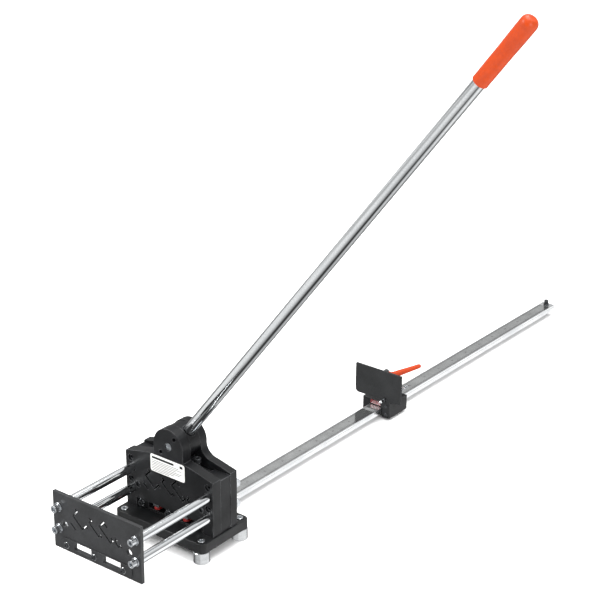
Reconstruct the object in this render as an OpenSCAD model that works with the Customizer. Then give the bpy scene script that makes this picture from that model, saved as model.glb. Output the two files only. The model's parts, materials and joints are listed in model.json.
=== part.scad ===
// Hand-lever mounting-rail cutter and punch with guide plate, measuring rail and length stop.
// Origin: centre of the four feet on the surface they stand on. +X is the side the lever falls to,
// +Y runs back along the measuring rail, +Z is up. All sizes in millimetres.

/* [Block] */
// Width of the cutter block and of the guide plate
block_w = 192; // [186:1:196]
// Thickness of the front die plate
front_t = 20; // [16:1:22]
// Thickness of the middle layer in which the blade slides
middle_t = 25; // [24:1:28]
// Thickness of the rear die plate
rear_t = 16; // [14:1:20]
// Height of the block's outer corners above the table
corner_z = 139; // [136:1:142]
// Height of the lever's pivot above the table
pivot_z = 174.5; // [172:0.5:178]
// Radius of the arches round the pivot
arch_r = 32; // [30:0.5:34]
// Width of the profile slits
slit_w = 2.6; // [2.4:0.1:3]
// Slope of every profile's web below the horizontal
profile_tilt = 42; // [40:1:45]

/* [Base] */
// Width of the base plate
base_w = 197; // [194:1:210]
// Depth of the base plate
base_d = 120; // [116:1:130]
// Thickness of the base plate
base_t = 18; // [16:1:20]
// Height of the feet
foot_h = 20; // [18:1:24]
// Diameter of the feet
foot_d = 28; // [24:1:30]
// Distance between the feet from left to right
foot_x = 171; // [168:1:174]
// Distance between the feet from front to back
foot_y = 97; // [94:1:100]

/* [Rail guide] */
// Distance from the block's front face to the guide plate's front face
guide_reach = 171.5; // [150:0.5:200]
// Thickness of the guide plate
guide_t = 6; // [4:0.5:8]
// Diameter of the guide rods
rod_d = 16; // [14:1:18]
// Distance of the rods from the centre plane
rod_x = 84; // [82:0.5:85]
// Width of the windows for rails that are punched
window_w = 38; // [36:0.5:39]

/* [Lever] */
// Angle of the lever above the horizontal at rest
lever_angle = 52.5; // [40:0.5:60]
// Length from the pivot to the tip of the grip
lever_len = 1018; // [900:1:1100]
// Diameter of the lever tube
tube_d = 20; // [18:0.5:20]
// Length of the grip
grip_len = 124; // [110:1:140]
// Offset of the cam from the pivot, equal to the blade's stroke
cam_offset = 5; // [4:0.5:6]

/* [Measuring rail] */
// Width of the rail
rail_w = 29; // [26:0.5:30]
// Thickness of the rail
rail_t = 11.5; // [10:0.5:12]
// Height of the rail's top face above the table
rail_z = 23; // [22:0.5:24]
// Where the rail's free end lies
rail_end = 1200; // [1000:10:1250]
// Where the stop's front face stands along the rail
stop_y = 557; // [200:1:1000]

/* [Hidden] */
$fn = 64;

// Gap between a moving piece and the piece beside it, and radial play of a running fit
gap = 0.3;
play = 0.05;

// Block layers along Y
block_front = -(front_t + middle_t + rear_t) / 2;
middle_front = block_front + front_t;
middle_rear = middle_front + middle_t;
block_rear = middle_rear + rear_t;
middle_y = (middle_front + middle_rear) / 2;
base_z = foot_h + base_t;
half_w = block_w / 2;
spacer_half = half_w - 0.8;
shoulder_x = 43.5;
shoulder_z = corner_z + 12.5;
fillet_r = 24;
fillet_x = arch_r + fillet_r - 0.1;
fillet_z = pivot_z - 2.5;

// Blade
blade_half = 61.7;
blade_low = 62;
blade_high = corner_z - 7;
blade_t = middle_t - 2 * gap;
cam_r = 27.5;
cam_lag = 30;
drum_tilt = 12;
pad_top = pivot_z + cam_offset * sin(cam_lag) - cam_r - gap;
pad_half = 20;
hub_r = arch_r - 1.2;
pin_r = 7;
bush_r = 9;

// Rods, their fasteners and the guide plate
rod_zs = [70.5, 109];
spigot_r = 6;
guide_front = block_front - guide_reach;
guide_low = 33.5;
guide_high = 136;
strip_t = 1.6;
strip_half = 77;
strip_low = 37;
strip_high = 58;

// Punching station
window_xs = [-31.5, 32.5];
window_low = 42;
window_high = 57;
recess_half = 74;
recess_top = 56;
post_xs = [-67, -6.5, 57];
post_z = 45;
die_top = 41;
punch_r = 3.15;
stripper_low = 46.3;
arm_low = 51.3;
arm_half = 6;
arm_front = block_front + 0.3;

// Clamp screws, dowels and rail fasteners
clamp_zs = [88.5, 127.5];
bolt_x = 84;
bolt_ys = [(block_front + middle_front) / 2, (middle_rear + block_rear) / 2];
clamp_x = 85;
dowel_x = 70;
dowel_z = 81.5;
rail_start = -34;
groove_play = 0.2;
screw_y = [-22, 40];

// Stop
block_half = 32.5;
stop_low = 5;
stop_high = 34.5;
stop_len = 58;
plate_t = 3.5;
plate_left = -48.5;
plate_right = 57.5;
plate_low = 40;
plate_high = 101;
leg_left = 11;
column_y = stop_y + 33;
column_top = 62;
spindle_x = 20;
spindle_z = 42;
spindle_r = 3;
neck_r = 1.5;
leg_screw_x = 24.5;
leg_screw_zs = [12, 29];

// Profiles cut by the blade: where the web starts, then points along the web and away from it
profiles = [
    [[-51.8, 104.4], [[-4, 14], [0, 14], [0, 0], [27, 0], [27, 12], [31, 12]]],
    [[-15.6, 104.2], [[-4, 7], [0, 7], [0, 0], [26.5, 0], [26.5, 5], [31, 5]]],
    [[6.2, 105.6], [[9, 14.5], [0, 14.5], [0, 0], [32, 0], [32, 7.5], [27.5, 7.5]]],
    [[39.8, 89.8], [[-2.6, 5], [0, 5], [0, 0], [10.2, 0], [10.2, 5], [12.8, 5]]],
    [[-57, 88.6], [[0, 0], [12.5, 0]]]
];

// ---- shared shapes ----

// Extrudes an outline drawn in X and Z between two places along Y
module slab(y0, y1) {
    translate([0, y1, 0]) rotate([90, 0, 0]) linear_extrude(y1 - y0) children();
}

// Round bar along Y
module bar(r, y0, y1, x = 0, z = 0) {
    translate([x, y0, z]) rotate([-90, 0, 0]) cylinder(r = r, h = y1 - y0);
}

// Rectangle with round corners, from its low corner to its high corner
module round_rect(low, high, r) {
    size = high - low;
    for (s = [[r, 0], [0, r]])
        translate(low + s) square([size[0] - 2 * s[0], size[1] - 2 * s[1]]);
    for (x = [low[0] + r, high[0] - r], y = [low[1] + r, high[1] - r])
        translate([x, y]) circle(r);
}

// Slit of one width along a path of points
module slit(points) {
    for (i = [0:len(points) - 2]) {
        step = points[i + 1] - points[i];
        translate((points[i] + points[i + 1]) / 2)
            rotate(atan2(step[1], step[0]))
                square([norm(step) + slit_w, slit_w], center = true);
    }
}

module profile_slits() {
    for (p = profiles)
        translate(p[0]) rotate(-profile_tilt) slit(p[1]);
}

// Socket head cap screw that points down from the underside of its head at z = 0
module cap_screw(r, length, head_r, head_h) {
    translate([0, 0, -length]) cylinder(r = r, h = length + 0.01);
    difference() {
        cylinder(r = head_r, h = head_h);
        translate([0, 0, head_h * 0.4]) cylinder(r = head_r * 0.58, h = head_h, $fn = 6);
    }
}

// Hexagon nut with its bore, standing on z = 0
module hex_nut(across, height, bore_r) {
    difference() {
        cylinder(r = across / sqrt(3), h = height, $fn = 6);
        translate([0, 0, -1]) cylinder(r = bore_r, h = height + 2);
    }
}

// Flat washer standing on z = 0
module washer(outer_r, inner_r, height) {
    difference() {
        cylinder(r = outer_r, h = height);
        translate([0, 0, -1]) cylinder(r = inner_r, h = height + 2);
    }
}

// Puts a child that points along +Z so that it points to the front
module to_front(x, y, z) {
    translate([x, y, z]) rotate([90, 0, 0]) children();
}

module at_feet() {
    for (x = [-foot_x / 2, foot_x / 2], y = [-foot_y / 2, foot_y / 2])
        translate([x, y, 0]) children();
}

module at_rods() {
    for (x = [-rod_x, rod_x], z = rod_zs)
        translate([x, 0, z]) children();
}

module at_clamps() {
    for (x = [-clamp_x, clamp_x], z = clamp_zs)
        translate([x, 0, z]) children();
}

// Bores that all three layers of the block share
module layer_bores(y0, y1) {
    at_rods() bar(spigot_r + play, y0 - 1, y1 + 1);
    at_clamps() bar(4 + play, y0 - 1, y1 + 1);
    for (x = [-dowel_x, dowel_x]) bar(5 + play, y0 - 1, y1 + 1, x, dowel_z);
}

// ---- base ----

module base_plate() {
    color("#2b2c2e") difference() {
        translate([0, 0, foot_h]) linear_extrude(base_t)
            round_rect([-base_w / 2, -base_d / 2], [base_w / 2, base_d / 2], 10);
        // groove that holds the measuring rail square to the block
        translate([-rail_w / 2 - groove_play, rail_start - groove_play, foot_h - 1])
            cube([rail_w + 2 * groove_play, base_d, rail_z - foot_h + 1]);
        at_feet() translate([0, 0, foot_h - 1]) cylinder(r = 4.2, h = base_t + 2);
        at_feet() translate([0, 0, base_z - 4]) cylinder(r = 7.2, h = 5);
        for (x = [-bolt_x, bolt_x], y = bolt_ys)
            translate([x, y, foot_h - 1]) cylinder(r = 5.3, h = base_t + 2);
        for (y = screw_y) translate([0, y, foot_h - 1]) cylinder(r = 3 + play, h = base_t + 2);
    }
}

module feet() {
    color("#c9cbcc") at_feet() difference() {
        cylinder(r = foot_d / 2, h = foot_h);
        translate([0, 0, foot_h - 11]) cylinder(r = 4 + play, h = 12);
        translate([0, 0, -1]) cylinder(r = 3.4, h = 8);
    }
}

module foot_screws() {
    color("#b4b6b8") at_feet() translate([0, 0, base_z - 4]) cap_screw(4, base_t - 4 + 10, 6.5, 5);
}

module block_bolts() {
    color("#2a2a2b") for (x = [-bolt_x, bolt_x], y = bolt_ys)
        translate([x, y, foot_h]) mirror([0, 0, 1]) cap_screw(5, base_t + 14, 8, 6.5);
}

// ---- block ----

// Outline of the front die plate: shoulders that slope up to an arch round the pivot
module front_outline() {
    polygon([[-half_w, base_z], [half_w, base_z], [half_w, corner_z], [shoulder_x, shoulder_z],
             [arch_r, shoulder_z + 1.5], [arch_r, pivot_z], [-arch_r, pivot_z],
             [-arch_r, shoulder_z + 1.5], [-shoulder_x, shoulder_z], [-half_w, corner_z]]);
    translate([0, pivot_z]) circle(arch_r);
}

// Outline of the rear die plate: its shoulders run into the arch with hollow fillets
module rear_outline() {
    difference() {
        polygon([[-half_w, base_z], [half_w, base_z], [half_w, corner_z],
                 [fillet_x - 5, fillet_z - fillet_r + 1], [fillet_x, fillet_z],
                 [arch_r, fillet_z], [arch_r, pivot_z], [-arch_r, pivot_z], [-arch_r, fillet_z],
                 [-fillet_x, fillet_z], [5 - fillet_x, fillet_z - fillet_r + 1],
                 [-half_w, corner_z]]);
        for (x = [-fillet_x, fillet_x]) translate([x, fillet_z]) circle(fillet_r);
    }
    translate([0, pivot_z]) circle(arch_r);
}

module front_die_plate() {
    color("#303134") difference() {
        slab(block_front, middle_front) difference() {
            front_outline();
            profile_slits();
            translate([-recess_half, base_z - 1]) square([2 * recess_half, recess_top - base_z + 1]);
        }
        layer_bores(block_front, middle_front);
        at_clamps() bar(5.8, block_front - 1, block_front + 11);
        at_rods() bar(rod_d / 2 + 0.2, block_front - 1, block_front + 4);
        bar(pin_r + 0.02, block_front - 1, middle_front + 1, 0, pivot_z);
        // holes through which the lever's cross pins are driven out
        bar(3.5, block_front - 1, middle_front + 1, 21.5 * cos(lever_angle),
            pivot_z + 21.5 * sin(lever_angle));
        bar(3.5, block_front - 1, middle_front + 1, -16.5, pivot_z - 14);
        for (x = [-bolt_x, bolt_x]) translate([x, bolt_ys[0], base_z - 1])
            cylinder(r = 5 + play, h = 17);
    }
}

module rear_die_plate() {
    color("#2d2e30") difference() {
        slab(middle_rear, block_rear) difference() {
            rear_outline();
            profile_slits();
            for (x = window_xs)
                translate([x - window_w / 2, base_z - 1])
                    square([window_w, window_high - base_z + 1]);
        }
        layer_bores(middle_rear, block_rear);
        bar(pin_r + 0.02, middle_rear - 1, block_rear + 1, 0, pivot_z);
        bar(3, middle_rear - 1, block_rear + 1, 21.5 * cos(lever_angle),
            pivot_z + 21.5 * sin(lever_angle));
        for (x = [-bolt_x, bolt_x]) translate([x, bolt_ys[1], base_z - 1])
            cylinder(r = 5 + play, h = 17);
    }
}

module spacer(side) {
    color("#262729") difference() {
        slab(middle_front, middle_rear)
            polygon([[side * (blade_half + gap), base_z], [side * spacer_half, base_z],
                     [side * spacer_half, corner_z - 3], [side * (blade_half + gap), corner_z - 3]]);
        layer_bores(middle_front, middle_rear);
    }
}

module clamp_screws() {
    color("#8a8c8e") at_clamps() to_front(0, block_front + 11, 0)
        cap_screw(4, block_rear - block_front - 14, 5.5, 8);
}

module dowel_pins() {
    color("#6d6f71") for (x = [-dowel_x, dowel_x])
        bar(5, block_front + 4, block_rear - 2, x, dowel_z);
}

module pivot_pin() {
    color("#a5a7a9") difference() {
        bar(pin_r, block_front + 1.5, block_rear + 5, 0, pivot_z);
        // ring groove for the retaining clip behind the rear plate
        translate([0, block_rear + 1, pivot_z]) rotate([-90, 0, 0])
            washer(pin_r + 1, pin_r - 1, 1.5);
    }
}

module pivot_clips() {
    color("#3a3b3c") translate([0, block_rear + 1.1, pivot_z]) rotate([-90, 0, 0])
        washer(pin_r + 4, pin_r - 0.9, 1.3);
}

module rating_label() {
    color("#f2f2ee") slab(block_front - 0.8, block_front)
        round_rect([-40, 119], [37.5, 153], 5);
}

// ---- rods and guide plate ----

module guide_rods() {
    color("#d5d7d8") at_rods() difference() {
        union() {
            bar(rod_d / 2, guide_front + guide_t, block_front + 4);
            bar(spigot_r, block_front + 3.9, block_rear + 16);
        }
        bar(4 + play, guide_front + guide_t - 1, guide_front + guide_t + 20);
    }
}

module rod_nuts() {
    color("#bfc1c2") at_rods() translate([0, block_rear + 2, 0]) rotate([-90, 0, 0])
        hex_nut(18, 10, spigot_r + play);
}

module rod_washers() {
    color("#c7c9ca") at_rods() {
        to_front(0, block_rear + 2, 0) washer(12, spigot_r + play, 2);
        to_front(0, guide_front, 0) washer(8, 4 + play, 1.8);
        to_front(0, guide_front - 1.8, 0) washer(7, 4 + play, 2);
    }
}

module rod_screws() {
    color("#d8dadb") at_rods() to_front(0, guide_front - 3.8, 0) cap_screw(4, 3.8 + guide_t + 16, 6.7, 8);
}

module guide_plate() {
    color("#303133") slab(guide_front, guide_front + guide_t) difference() {
        round_rect([-half_w, guide_low], [half_w, guide_high], 1.5);
        profile_slits();
        for (x = window_xs) translate([x - window_w / 2, window_low])
            square([window_w, window_high - window_low]);
        for (x = [-rod_x, rod_x], z = rod_zs) translate([x, z]) circle(4 + play);
        for (x = [-dowel_x, dowel_x]) translate([x, dowel_z]) circle(6);
        for (x = post_xs) translate([x, post_z]) circle(2.5 + play);
    }
}

module guide_strip() {
    color("#2a2b2c") slab(guide_front - strip_t, guide_front) difference() {
        round_rect([-strip_half, strip_low], [strip_half - 1, strip_high], 8);
        for (x = window_xs) translate([x - window_w / 2, window_low])
            square([window_w, window_high - window_low]);
        for (x = post_xs) translate([x, post_z]) circle(2.5 + play);
        for (x = [-rod_x, rod_x]) translate([x, rod_zs[0]]) circle(9.5);
    }
}

module guide_strip_screws() {
    color("#a9abad") for (x = post_xs) to_front(x, guide_front - strip_t, post_z) {
        washer(5.8, 2.5, 1);
        translate([0, 0, 1]) cap_screw(2.5, 1 + strip_t + guide_t + 5, 4.6, 2.8);
    }
}

module guide_strip_nuts() {
    color("#7f8183") for (x = post_xs) translate([x, guide_front + guide_t, post_z])
        rotate([-90, 0, 0]) hex_nut(8, 4, 2.5 + play);
}

// ---- punching station ----

// Comb that keeps the rails square under the punches: posts stand between the windows
module punch_guide() {
    post_edges = [[-recess_half + 0.2, window_xs[0] - window_w / 2],
                  [window_xs[0] + window_w / 2, window_xs[1] - window_w / 2],
                  [window_xs[1] + window_w / 2, recess_half - 0.2]];
    color("#1f2021") slab(block_front + 5, middle_front - 1) difference() {
        union() {
            translate([-recess_half + 0.2, base_z])
                square([2 * recess_half - 0.4, die_top - base_z]);
            for (e = post_edges) translate([e[0], base_z])
                square([e[1] - e[0], recess_top - base_z - 0.3]);
        }
        for (x = post_xs) translate([x, post_z + 1]) circle(3 + play);
    }
}

module punch_guide_washers() {
    color("#8d8f91") for (x = post_xs)
        to_front(x, block_front + 5, post_z + 1) washer(6.2, 3 + play, 1.2);
}

module punch_guide_screws() {
    color("#6e7072") for (x = post_xs)
        to_front(x, block_front + 3.8, post_z + 1) cap_screw(3, 1.2 + 14, 5, 4);
}

module punch_die_bar() {
    color("#3a3b3d") difference() {
        translate([-blade_half, middle_front, base_z])
            cube([2 * blade_half, middle_t, die_top - base_z]);
        for (x = window_xs) translate([x, middle_y, base_z - 1]) cylinder(r = 7 + play, h = 9);
        for (x = [-57, 57]) translate([x, middle_y, die_top - 1]) cylinder(r = 4, h = 2);
    }
}

module punch_dies() {
    color("#8f9193") for (x = window_xs) translate([x, middle_y, base_z]) difference() {
        cylinder(r = 7, h = die_top - base_z);
        translate([0, 0, -1]) cylinder(r = punch_r + 0.15, h = 9);
    }
}

// ---- measuring rail ----

module measuring_rail() {
    color("#bfc1c2") difference() {
        translate([-rail_w / 2, rail_start, rail_z - rail_t])
            cube([rail_w, rail_end - rail_start, rail_t]);
        // shallow bed for the scale
        translate([-rail_w / 2 + 2, base_d / 2 + 10, rail_z - 0.4])
            cube([rail_w - 4, rail_end - base_d / 2 - 28, 1]);
        for (y = screw_y) translate([0, y, 0]) cylinder(r = 3 + play, h = 40);
        for (y = screw_y) translate([0, y, rail_z - rail_t - 1]) cylinder(r = 5.3, h = 7.2);
        translate([0, rail_end - 11, 0]) cylinder(r = 3 + play, h = 40);
    }
}

module scale_strip() {
    color("#9fa1a2") translate([-rail_w / 2 + 2, base_d / 2 + 10, rail_z - 0.4])
        cube([rail_w - 4, rail_end - base_d / 2 - 28, 0.4]);
}

module rail_screws() {
    color("#77797b") for (y = screw_y) translate([0, y, rail_z - rail_t + 6.2])
        mirror([0, 0, 1]) cap_screw(3, base_z - rail_z + rail_t - 8, 5, 5.5);
}

// Levelling screw under the rail's free end: its tip stands on the table
module support_screw() {
    color("#1c1c1d") translate([0, rail_end - 11, 29]) cap_screw(3, 29, 4.8, 5);
}

module support_nut() {
    color("#3a3b3c") translate([0, rail_end - 11, rail_z]) hex_nut(10, 4, 3 + play);
}

// ---- lever ----

// Puts children, drawn round the pivot, at the pivot and turned to the lever's rest angle
module at_pivot(angle = 0) {
    translate([0, middle_y, pivot_z]) rotate([0, -angle, 0]) children();
}

// Outline of the hub round the pivot: a cam below, half a drum that holds the tube above
module hub_outline() {
    rotate(cam_lag) translate([cam_offset, 0]) circle(cam_r);
    rotate(drum_tilt) intersection() {
        circle(hub_r);
        translate([-hub_r - 1, 0]) square([2 * hub_r + 2, hub_r + 1]);
    }
}

module lever_hub() {
    color("#27282a") difference() {
        translate([0, 0, pivot_z]) slab(middle_front + gap, middle_rear - gap) difference() {
            hub_outline();
            circle(bush_r + 0.02);
        }
        at_pivot(lever_angle) rotate([0, 90, 0]) {
            translate([0, 0, 11]) cylinder(r = tube_d / 2 + 0.02, h = 40);
            translate([0, 0, 25]) cylinder(r = tube_d / 2 + 1.2, h = 30);
        }
        cross_pin(2.52, 20);
    }
}

// Bar across the hub at the lever's cross pin
module cross_pin(r, half_len) {
    bar(r, middle_y - half_len, middle_y + half_len, 21.5 * cos(lever_angle),
        pivot_z + 21.5 * sin(lever_angle));
}

module hub_bush() {
    color("#a8843c") difference() {
        bar(bush_r, middle_front + gap, middle_rear - gap, 0, pivot_z);
        bar(pin_r + play, middle_front - 1, middle_rear + 1, 0, pivot_z);
    }
}

module lever_tube() {
    tube_wall = 3;
    color("#dfe1e2") difference() {
        at_pivot(lever_angle) rotate([0, 90, 0]) difference() {
            translate([0, 0, 11.5]) cylinder(r = tube_d / 2, h = lever_len - 24);
            translate([0, 0, 30]) cylinder(r = tube_d / 2 - tube_wall, h = lever_len);
        }
        cross_pin(2.52, 20);
    }
}

module lever_cross_pins() {
    color("#8d8f91") cross_pin(2.5, middle_t / 2 - 0.5);
}

// Dipped grip with a rounded end, a little wider towards the tip
module lever_grip() {
    foot_r = tube_d / 2 + 2;
    end_r = tube_d / 2 + 3;
    tip_r = 9;
    color("#e8501e") at_pivot(lever_angle) rotate([0, 90, 0])
        translate([0, 0, lever_len - grip_len]) rotate_extrude() difference() {
            union() {
                polygon([[0, 0], [foot_r - 0.8, 0], [foot_r, 1.5], [end_r, grip_len - tip_r],
                         [end_r - tip_r, grip_len - tip_r], [0, grip_len - tip_r]]);
                translate([0, grip_len - tip_r - 0.1]) square([end_r - tip_r, tip_r + 0.1]);
                intersection() {
                    translate([end_r - tip_r, grip_len - tip_r]) circle(tip_r);
                    translate([0, grip_len - tip_r]) square([end_r, tip_r]);
                }
            }
            translate([-1, -1]) square([tube_d / 2 + 1.05, grip_len - 11]);
        }
}

// ---- blade ----

module cutting_blade() {
    y0 = middle_y - blade_t / 2;
    color("#55585b") difference() {
        slab(y0, y0 + blade_t) difference() {
            union() {
                translate([-blade_half, blade_low]) square([2 * blade_half, blade_high - blade_low]);
                translate([-pad_half - 4, blade_high - 1]) square([2 * pad_half + 8, 12]);
            }
            profile_slits();
        }
        for (x = [-57, 57]) translate([x, middle_y, blade_low - 1]) cylinder(r = 4, h = 11);
        for (x = window_xs) translate([x, middle_y, blade_low - 1]) cylinder(r = 5 + play, h = 9);
        for (x = [-35, 35]) translate([x, middle_y, blade_high - 20]) cylinder(r = 4 + play, h = 30);
    }
}

module blade_pad() {
    color("#7b7e80") translate([-pad_half, middle_y - blade_t / 2, blade_high + 11])
        cube([2 * pad_half, blade_t, pad_top - blade_high - 11]);
}

module blade_screws() {
    color("#9a9c9e") for (x = [-35, 35]) translate([x, middle_y, blade_high + 13])
        cap_screw(4, 32, 6.5, 8);
}

module blade_nuts() {
    color("#85878a") for (x = [-35, 35]) translate([x, middle_y, blade_high])
        hex_nut(13, 6.5, 4 + play);
}

// Plate under the blade that carries both punches, with an arm forwards over each rail
module punch_holder() {
    color("#3f4143") difference() {
        union() {
            translate([-50, middle_y - 9, blade_low - 5]) cube([100, 18, 5]);
            for (x = window_xs) {
                translate([x - arm_half, arm_front + 1, arm_low])
                    cube([2 * arm_half, middle_y + 9 - arm_front - 1, recess_top - 0.5 - arm_low]);
                translate([x - arm_half, middle_y - 9, arm_low])
                    cube([2 * arm_half, 18, blade_low - 4 - arm_low]);
            }
        }
        for (x = window_xs) translate([x, middle_y, arm_low - 1])
            cylinder(r = punch_r + 0.02, h = blade_low - arm_low + 2);
    }
}

module punches() {
    color("#9b9da0") for (x = window_xs) translate([x, middle_y, 0]) {
        translate([0, 0, stripper_low - 0.5]) cylinder(r = punch_r, h = blade_low - stripper_low + 1);
        translate([0, 0, blade_low]) cylinder(r = 5, h = 7);
    }
}

// Soft pads under the arms: they press the rail down before the punch and push it off afterwards
module strippers() {
    color("#c2201c") for (x = window_xs) translate([x, 0, stripper_low]) difference() {
        union() {
            translate([-arm_half, arm_front + arm_half, 0])
                cube([2 * arm_half, middle_y + 9 - arm_front - arm_half, arm_low - stripper_low]);
            translate([0, arm_front + arm_half, 0]) cylinder(r = arm_half, h = arm_low - stripper_low);
        }
        translate([0, middle_y, -1]) cylinder(r = punch_r + 0.02, h = 10);
    }
}

// Point on a circle after part t of a number of turns
function coil_point(t, turns, r) = [r * cos(360 * turns * t), r * sin(360 * turns * t)];

// Compression spring: a square wire section swept round the helix
module spring(r, wire, z0, z1, turns) {
    steps = turns * 14;
    corners = [[-wire, -wire], [wire, -wire], [wire, wire], [-wire, wire]] / 2;
    points = [for (i = [0:steps], c = corners)
        let (t = i / steps, p = coil_point(t, turns, r + c[0]))
            [p[0], p[1], z0 + wire / 2 + (z1 - z0 - wire) * t + c[1]]];
    sides = [for (i = [0:steps - 1], k = [0:3], half = [0, 1])
        let (a = 4 * i + k, b = 4 * i + (k + 1) % 4) half ? [a, a + 4, b + 4] : [a, b + 4, b]];
    last = 4 * steps;
    polyhedron(points, concat([[0, 1, 2], [0, 2, 3]], sides,
        [[last + 2, last + 1, last], [last + 3, last + 2, last]]));
}

module return_springs() {
    color("#8b8d8f") for (x = [-57, 57]) translate([x, middle_y, 0])
        spring(2.9, 0.9, die_top - 1, blade_low + 10, 9);
}

// ---- length stop ----

module stop_block() {
    color("#1f2022") difference() {
        union() {
            translate([-block_half, stop_y + plate_t, stop_low])
                cube([2 * block_half, stop_len - plate_t, stop_high - stop_low]);
            // ridge that carries the spindle
            translate([spindle_x - 6, stop_y + plate_t, stop_high - 1])
                cube([12, stop_len - 12 - plate_t, spindle_z + 6 - stop_high]);
        }
        translate([-rail_w / 2 - 0.25, stop_y - 1, rail_z - rail_t - 0.25])
            cube([rail_w + 0.5, stop_len + 2, rail_t + 0.5]);
        translate([0, column_y, rail_z]) cylinder(r = 4 + play, h = 30);
        translate([0, column_y, rail_z]) cylinder(r = 6.05, h = 4);
        bar(spindle_r + play, stop_y, stop_y + stop_len, spindle_x, spindle_z);
        for (z = leg_screw_zs) bar(2 + play, stop_y, stop_y + 16, leg_screw_x, z);
        // seat of the pointer
        translate([-15, stop_y, rail_z + 1]) cube([24.5, plate_t + 1.5, 8.5]);
    }
}

// Plate that the cut rail is pushed against: a wide upper part on a leg beside the rail
module stop_plate() {
    color("#2e3032") slab(stop_y, stop_y + plate_t) difference() {
        union() {
            round_rect([plate_left, plate_low], [plate_right, plate_high], 2);
            translate([leg_left, stop_low])
                square([block_half - leg_left, plate_low - stop_low + 4]);
        }
        // clear of the rail
        translate([-rail_w / 2 - 0.5, stop_low - 1])
            square([rail_w + 1, rail_z - stop_low + 1.6]);
        // rounded lower left corner
        translate([plate_left - 1, plate_low - 1]) difference() {
            square([9, 9]);
            translate([9, 9]) circle(8);
        }
        translate([spindle_x, spindle_z]) circle(4.6);
        for (z = leg_screw_zs) translate([leg_screw_x, z]) circle(2 + play);
    }
}

module stop_plate_screws() {
    color("#3c3d3f") for (z = leg_screw_zs)
        to_front(leg_screw_x, stop_y, z) cap_screw(2, 14, 3.6, 1.6);
}

module rail_pointer() {
    color("#b5252a") translate([-14.5, stop_y + plate_t - 0.4, rail_z + 1.3])
        cube([23.5, 1.8, 7.9]);
}

module clamp_column() {
    color("#26272a") translate([0, column_y, stop_high])
        washer(8, 4 + play, column_top - stop_high);
}

module clamp_shoe() {
    color("#b08d45") translate([0, column_y, rail_z + 0.1]) cylinder(r = 6, h = 3.6);
}

module spindle_nut() {
    color("#4a4b4d") translate([spindle_x, stop_y + stop_len - 12 + 0.1, spindle_z])
        rotate([-90, 0, 0]) hex_nut(10, 4, spindle_r + play);
}

// Clamp lever: a hub on the stud with a tapered arm that rises slightly
clamp_turn = 45;
clamp_rise = 18;
module at_clamp() {
    translate([0, column_y, column_top + gap]) rotate([0, 0, clamp_turn]) children();
}

module clamp_handle() {
    color("#e8501e") at_clamp() difference() {
        union() {
            cylinder(r = 9.5, h = 19);
            translate([0, 0, 8.7]) rotate([0, 90 - clamp_rise, 0]) {
                cylinder(r1 = 7, r2 = 4.4, h = 66);
                translate([0, 0, 66]) sphere(r = 4.4);
            }
        }
        translate([0, 0, -1]) cylinder(r = 4 + 0.02, h = 21);
        // keeps the arm's root inside the hub's height
        translate([0, 0, -20]) cylinder(r = 9.5, h = 20);
    }
}

module clamp_cap() {
    color("#1d1e1f") at_clamp() translate([0, 0, 19]) cylinder(r = 5, h = 6);
}

module clamp_stud() {
    color("#9a9c9e") translate([0, column_y, rail_z + 4.2])
        cylinder(r = 4, h = column_top + gap + 18.9 - rail_z - 4.2);
}

module stop_spindle() {
    color("#8e9092") {
        bar(spindle_r, stop_y - 2, stop_y + 78, spindle_x, spindle_z);
        bar(neck_r, stop_y - 11, stop_y - 1, spindle_x, spindle_z);
    }
}

module spindle_knob() {
    color("#d9dadb") difference() {
        translate([spindle_x, stop_y - 12, spindle_z]) sphere(r = 3.2);
        bar(neck_r + 0.01, stop_y - 11, stop_y, spindle_x, spindle_z);
    }
}

base_plate();
feet();
foot_screws();
block_bolts();
front_die_plate();
rear_die_plate();
spacer(-1);  // spacer_left
spacer(1);  // spacer_right
clamp_screws();
dowel_pins();
pivot_pin();
pivot_clips();
guide_rods();
rod_nuts();
rod_washers();
rod_screws();
guide_plate();
guide_strip();
guide_strip_screws();
guide_strip_nuts();
rating_label();
punch_guide();
punch_guide_screws();
punch_guide_washers();
punch_die_bar();
punch_dies();
measuring_rail();
scale_strip();
rail_screws();
support_screw();
support_nut();
lever_hub();
hub_bush();
lever_tube();
lever_grip();
lever_cross_pins();
cutting_blade();
blade_pad();
blade_screws();
blade_nuts();
punch_holder();
punches();
strippers();
return_springs();
stop_block();
stop_plate();
stop_plate_screws();
rail_pointer();
clamp_column();
clamp_shoe();
spindle_nut();
clamp_handle();
clamp_cap();
clamp_stud();
stop_spindle();
spindle_knob();
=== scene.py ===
"""Looks of a hand-lever mounting-rail cutter and punch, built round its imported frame.

Every sub-assembly is a class that dresses its own pieces: machined plates get their edges broken,
turned parts are spun anew at a fine pitch, and what repeats is placed by Geometry Nodes.
Sizes are in millimetres until they become vertices, which are in metres like the frame.
"""

import json
import logging
import math
from dataclasses import dataclass
from enum import Enum
from typing import Any, Iterable, Optional, Sequence

import bmesh
import bpy
from mathutils import Euler, Matrix, Vector


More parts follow.
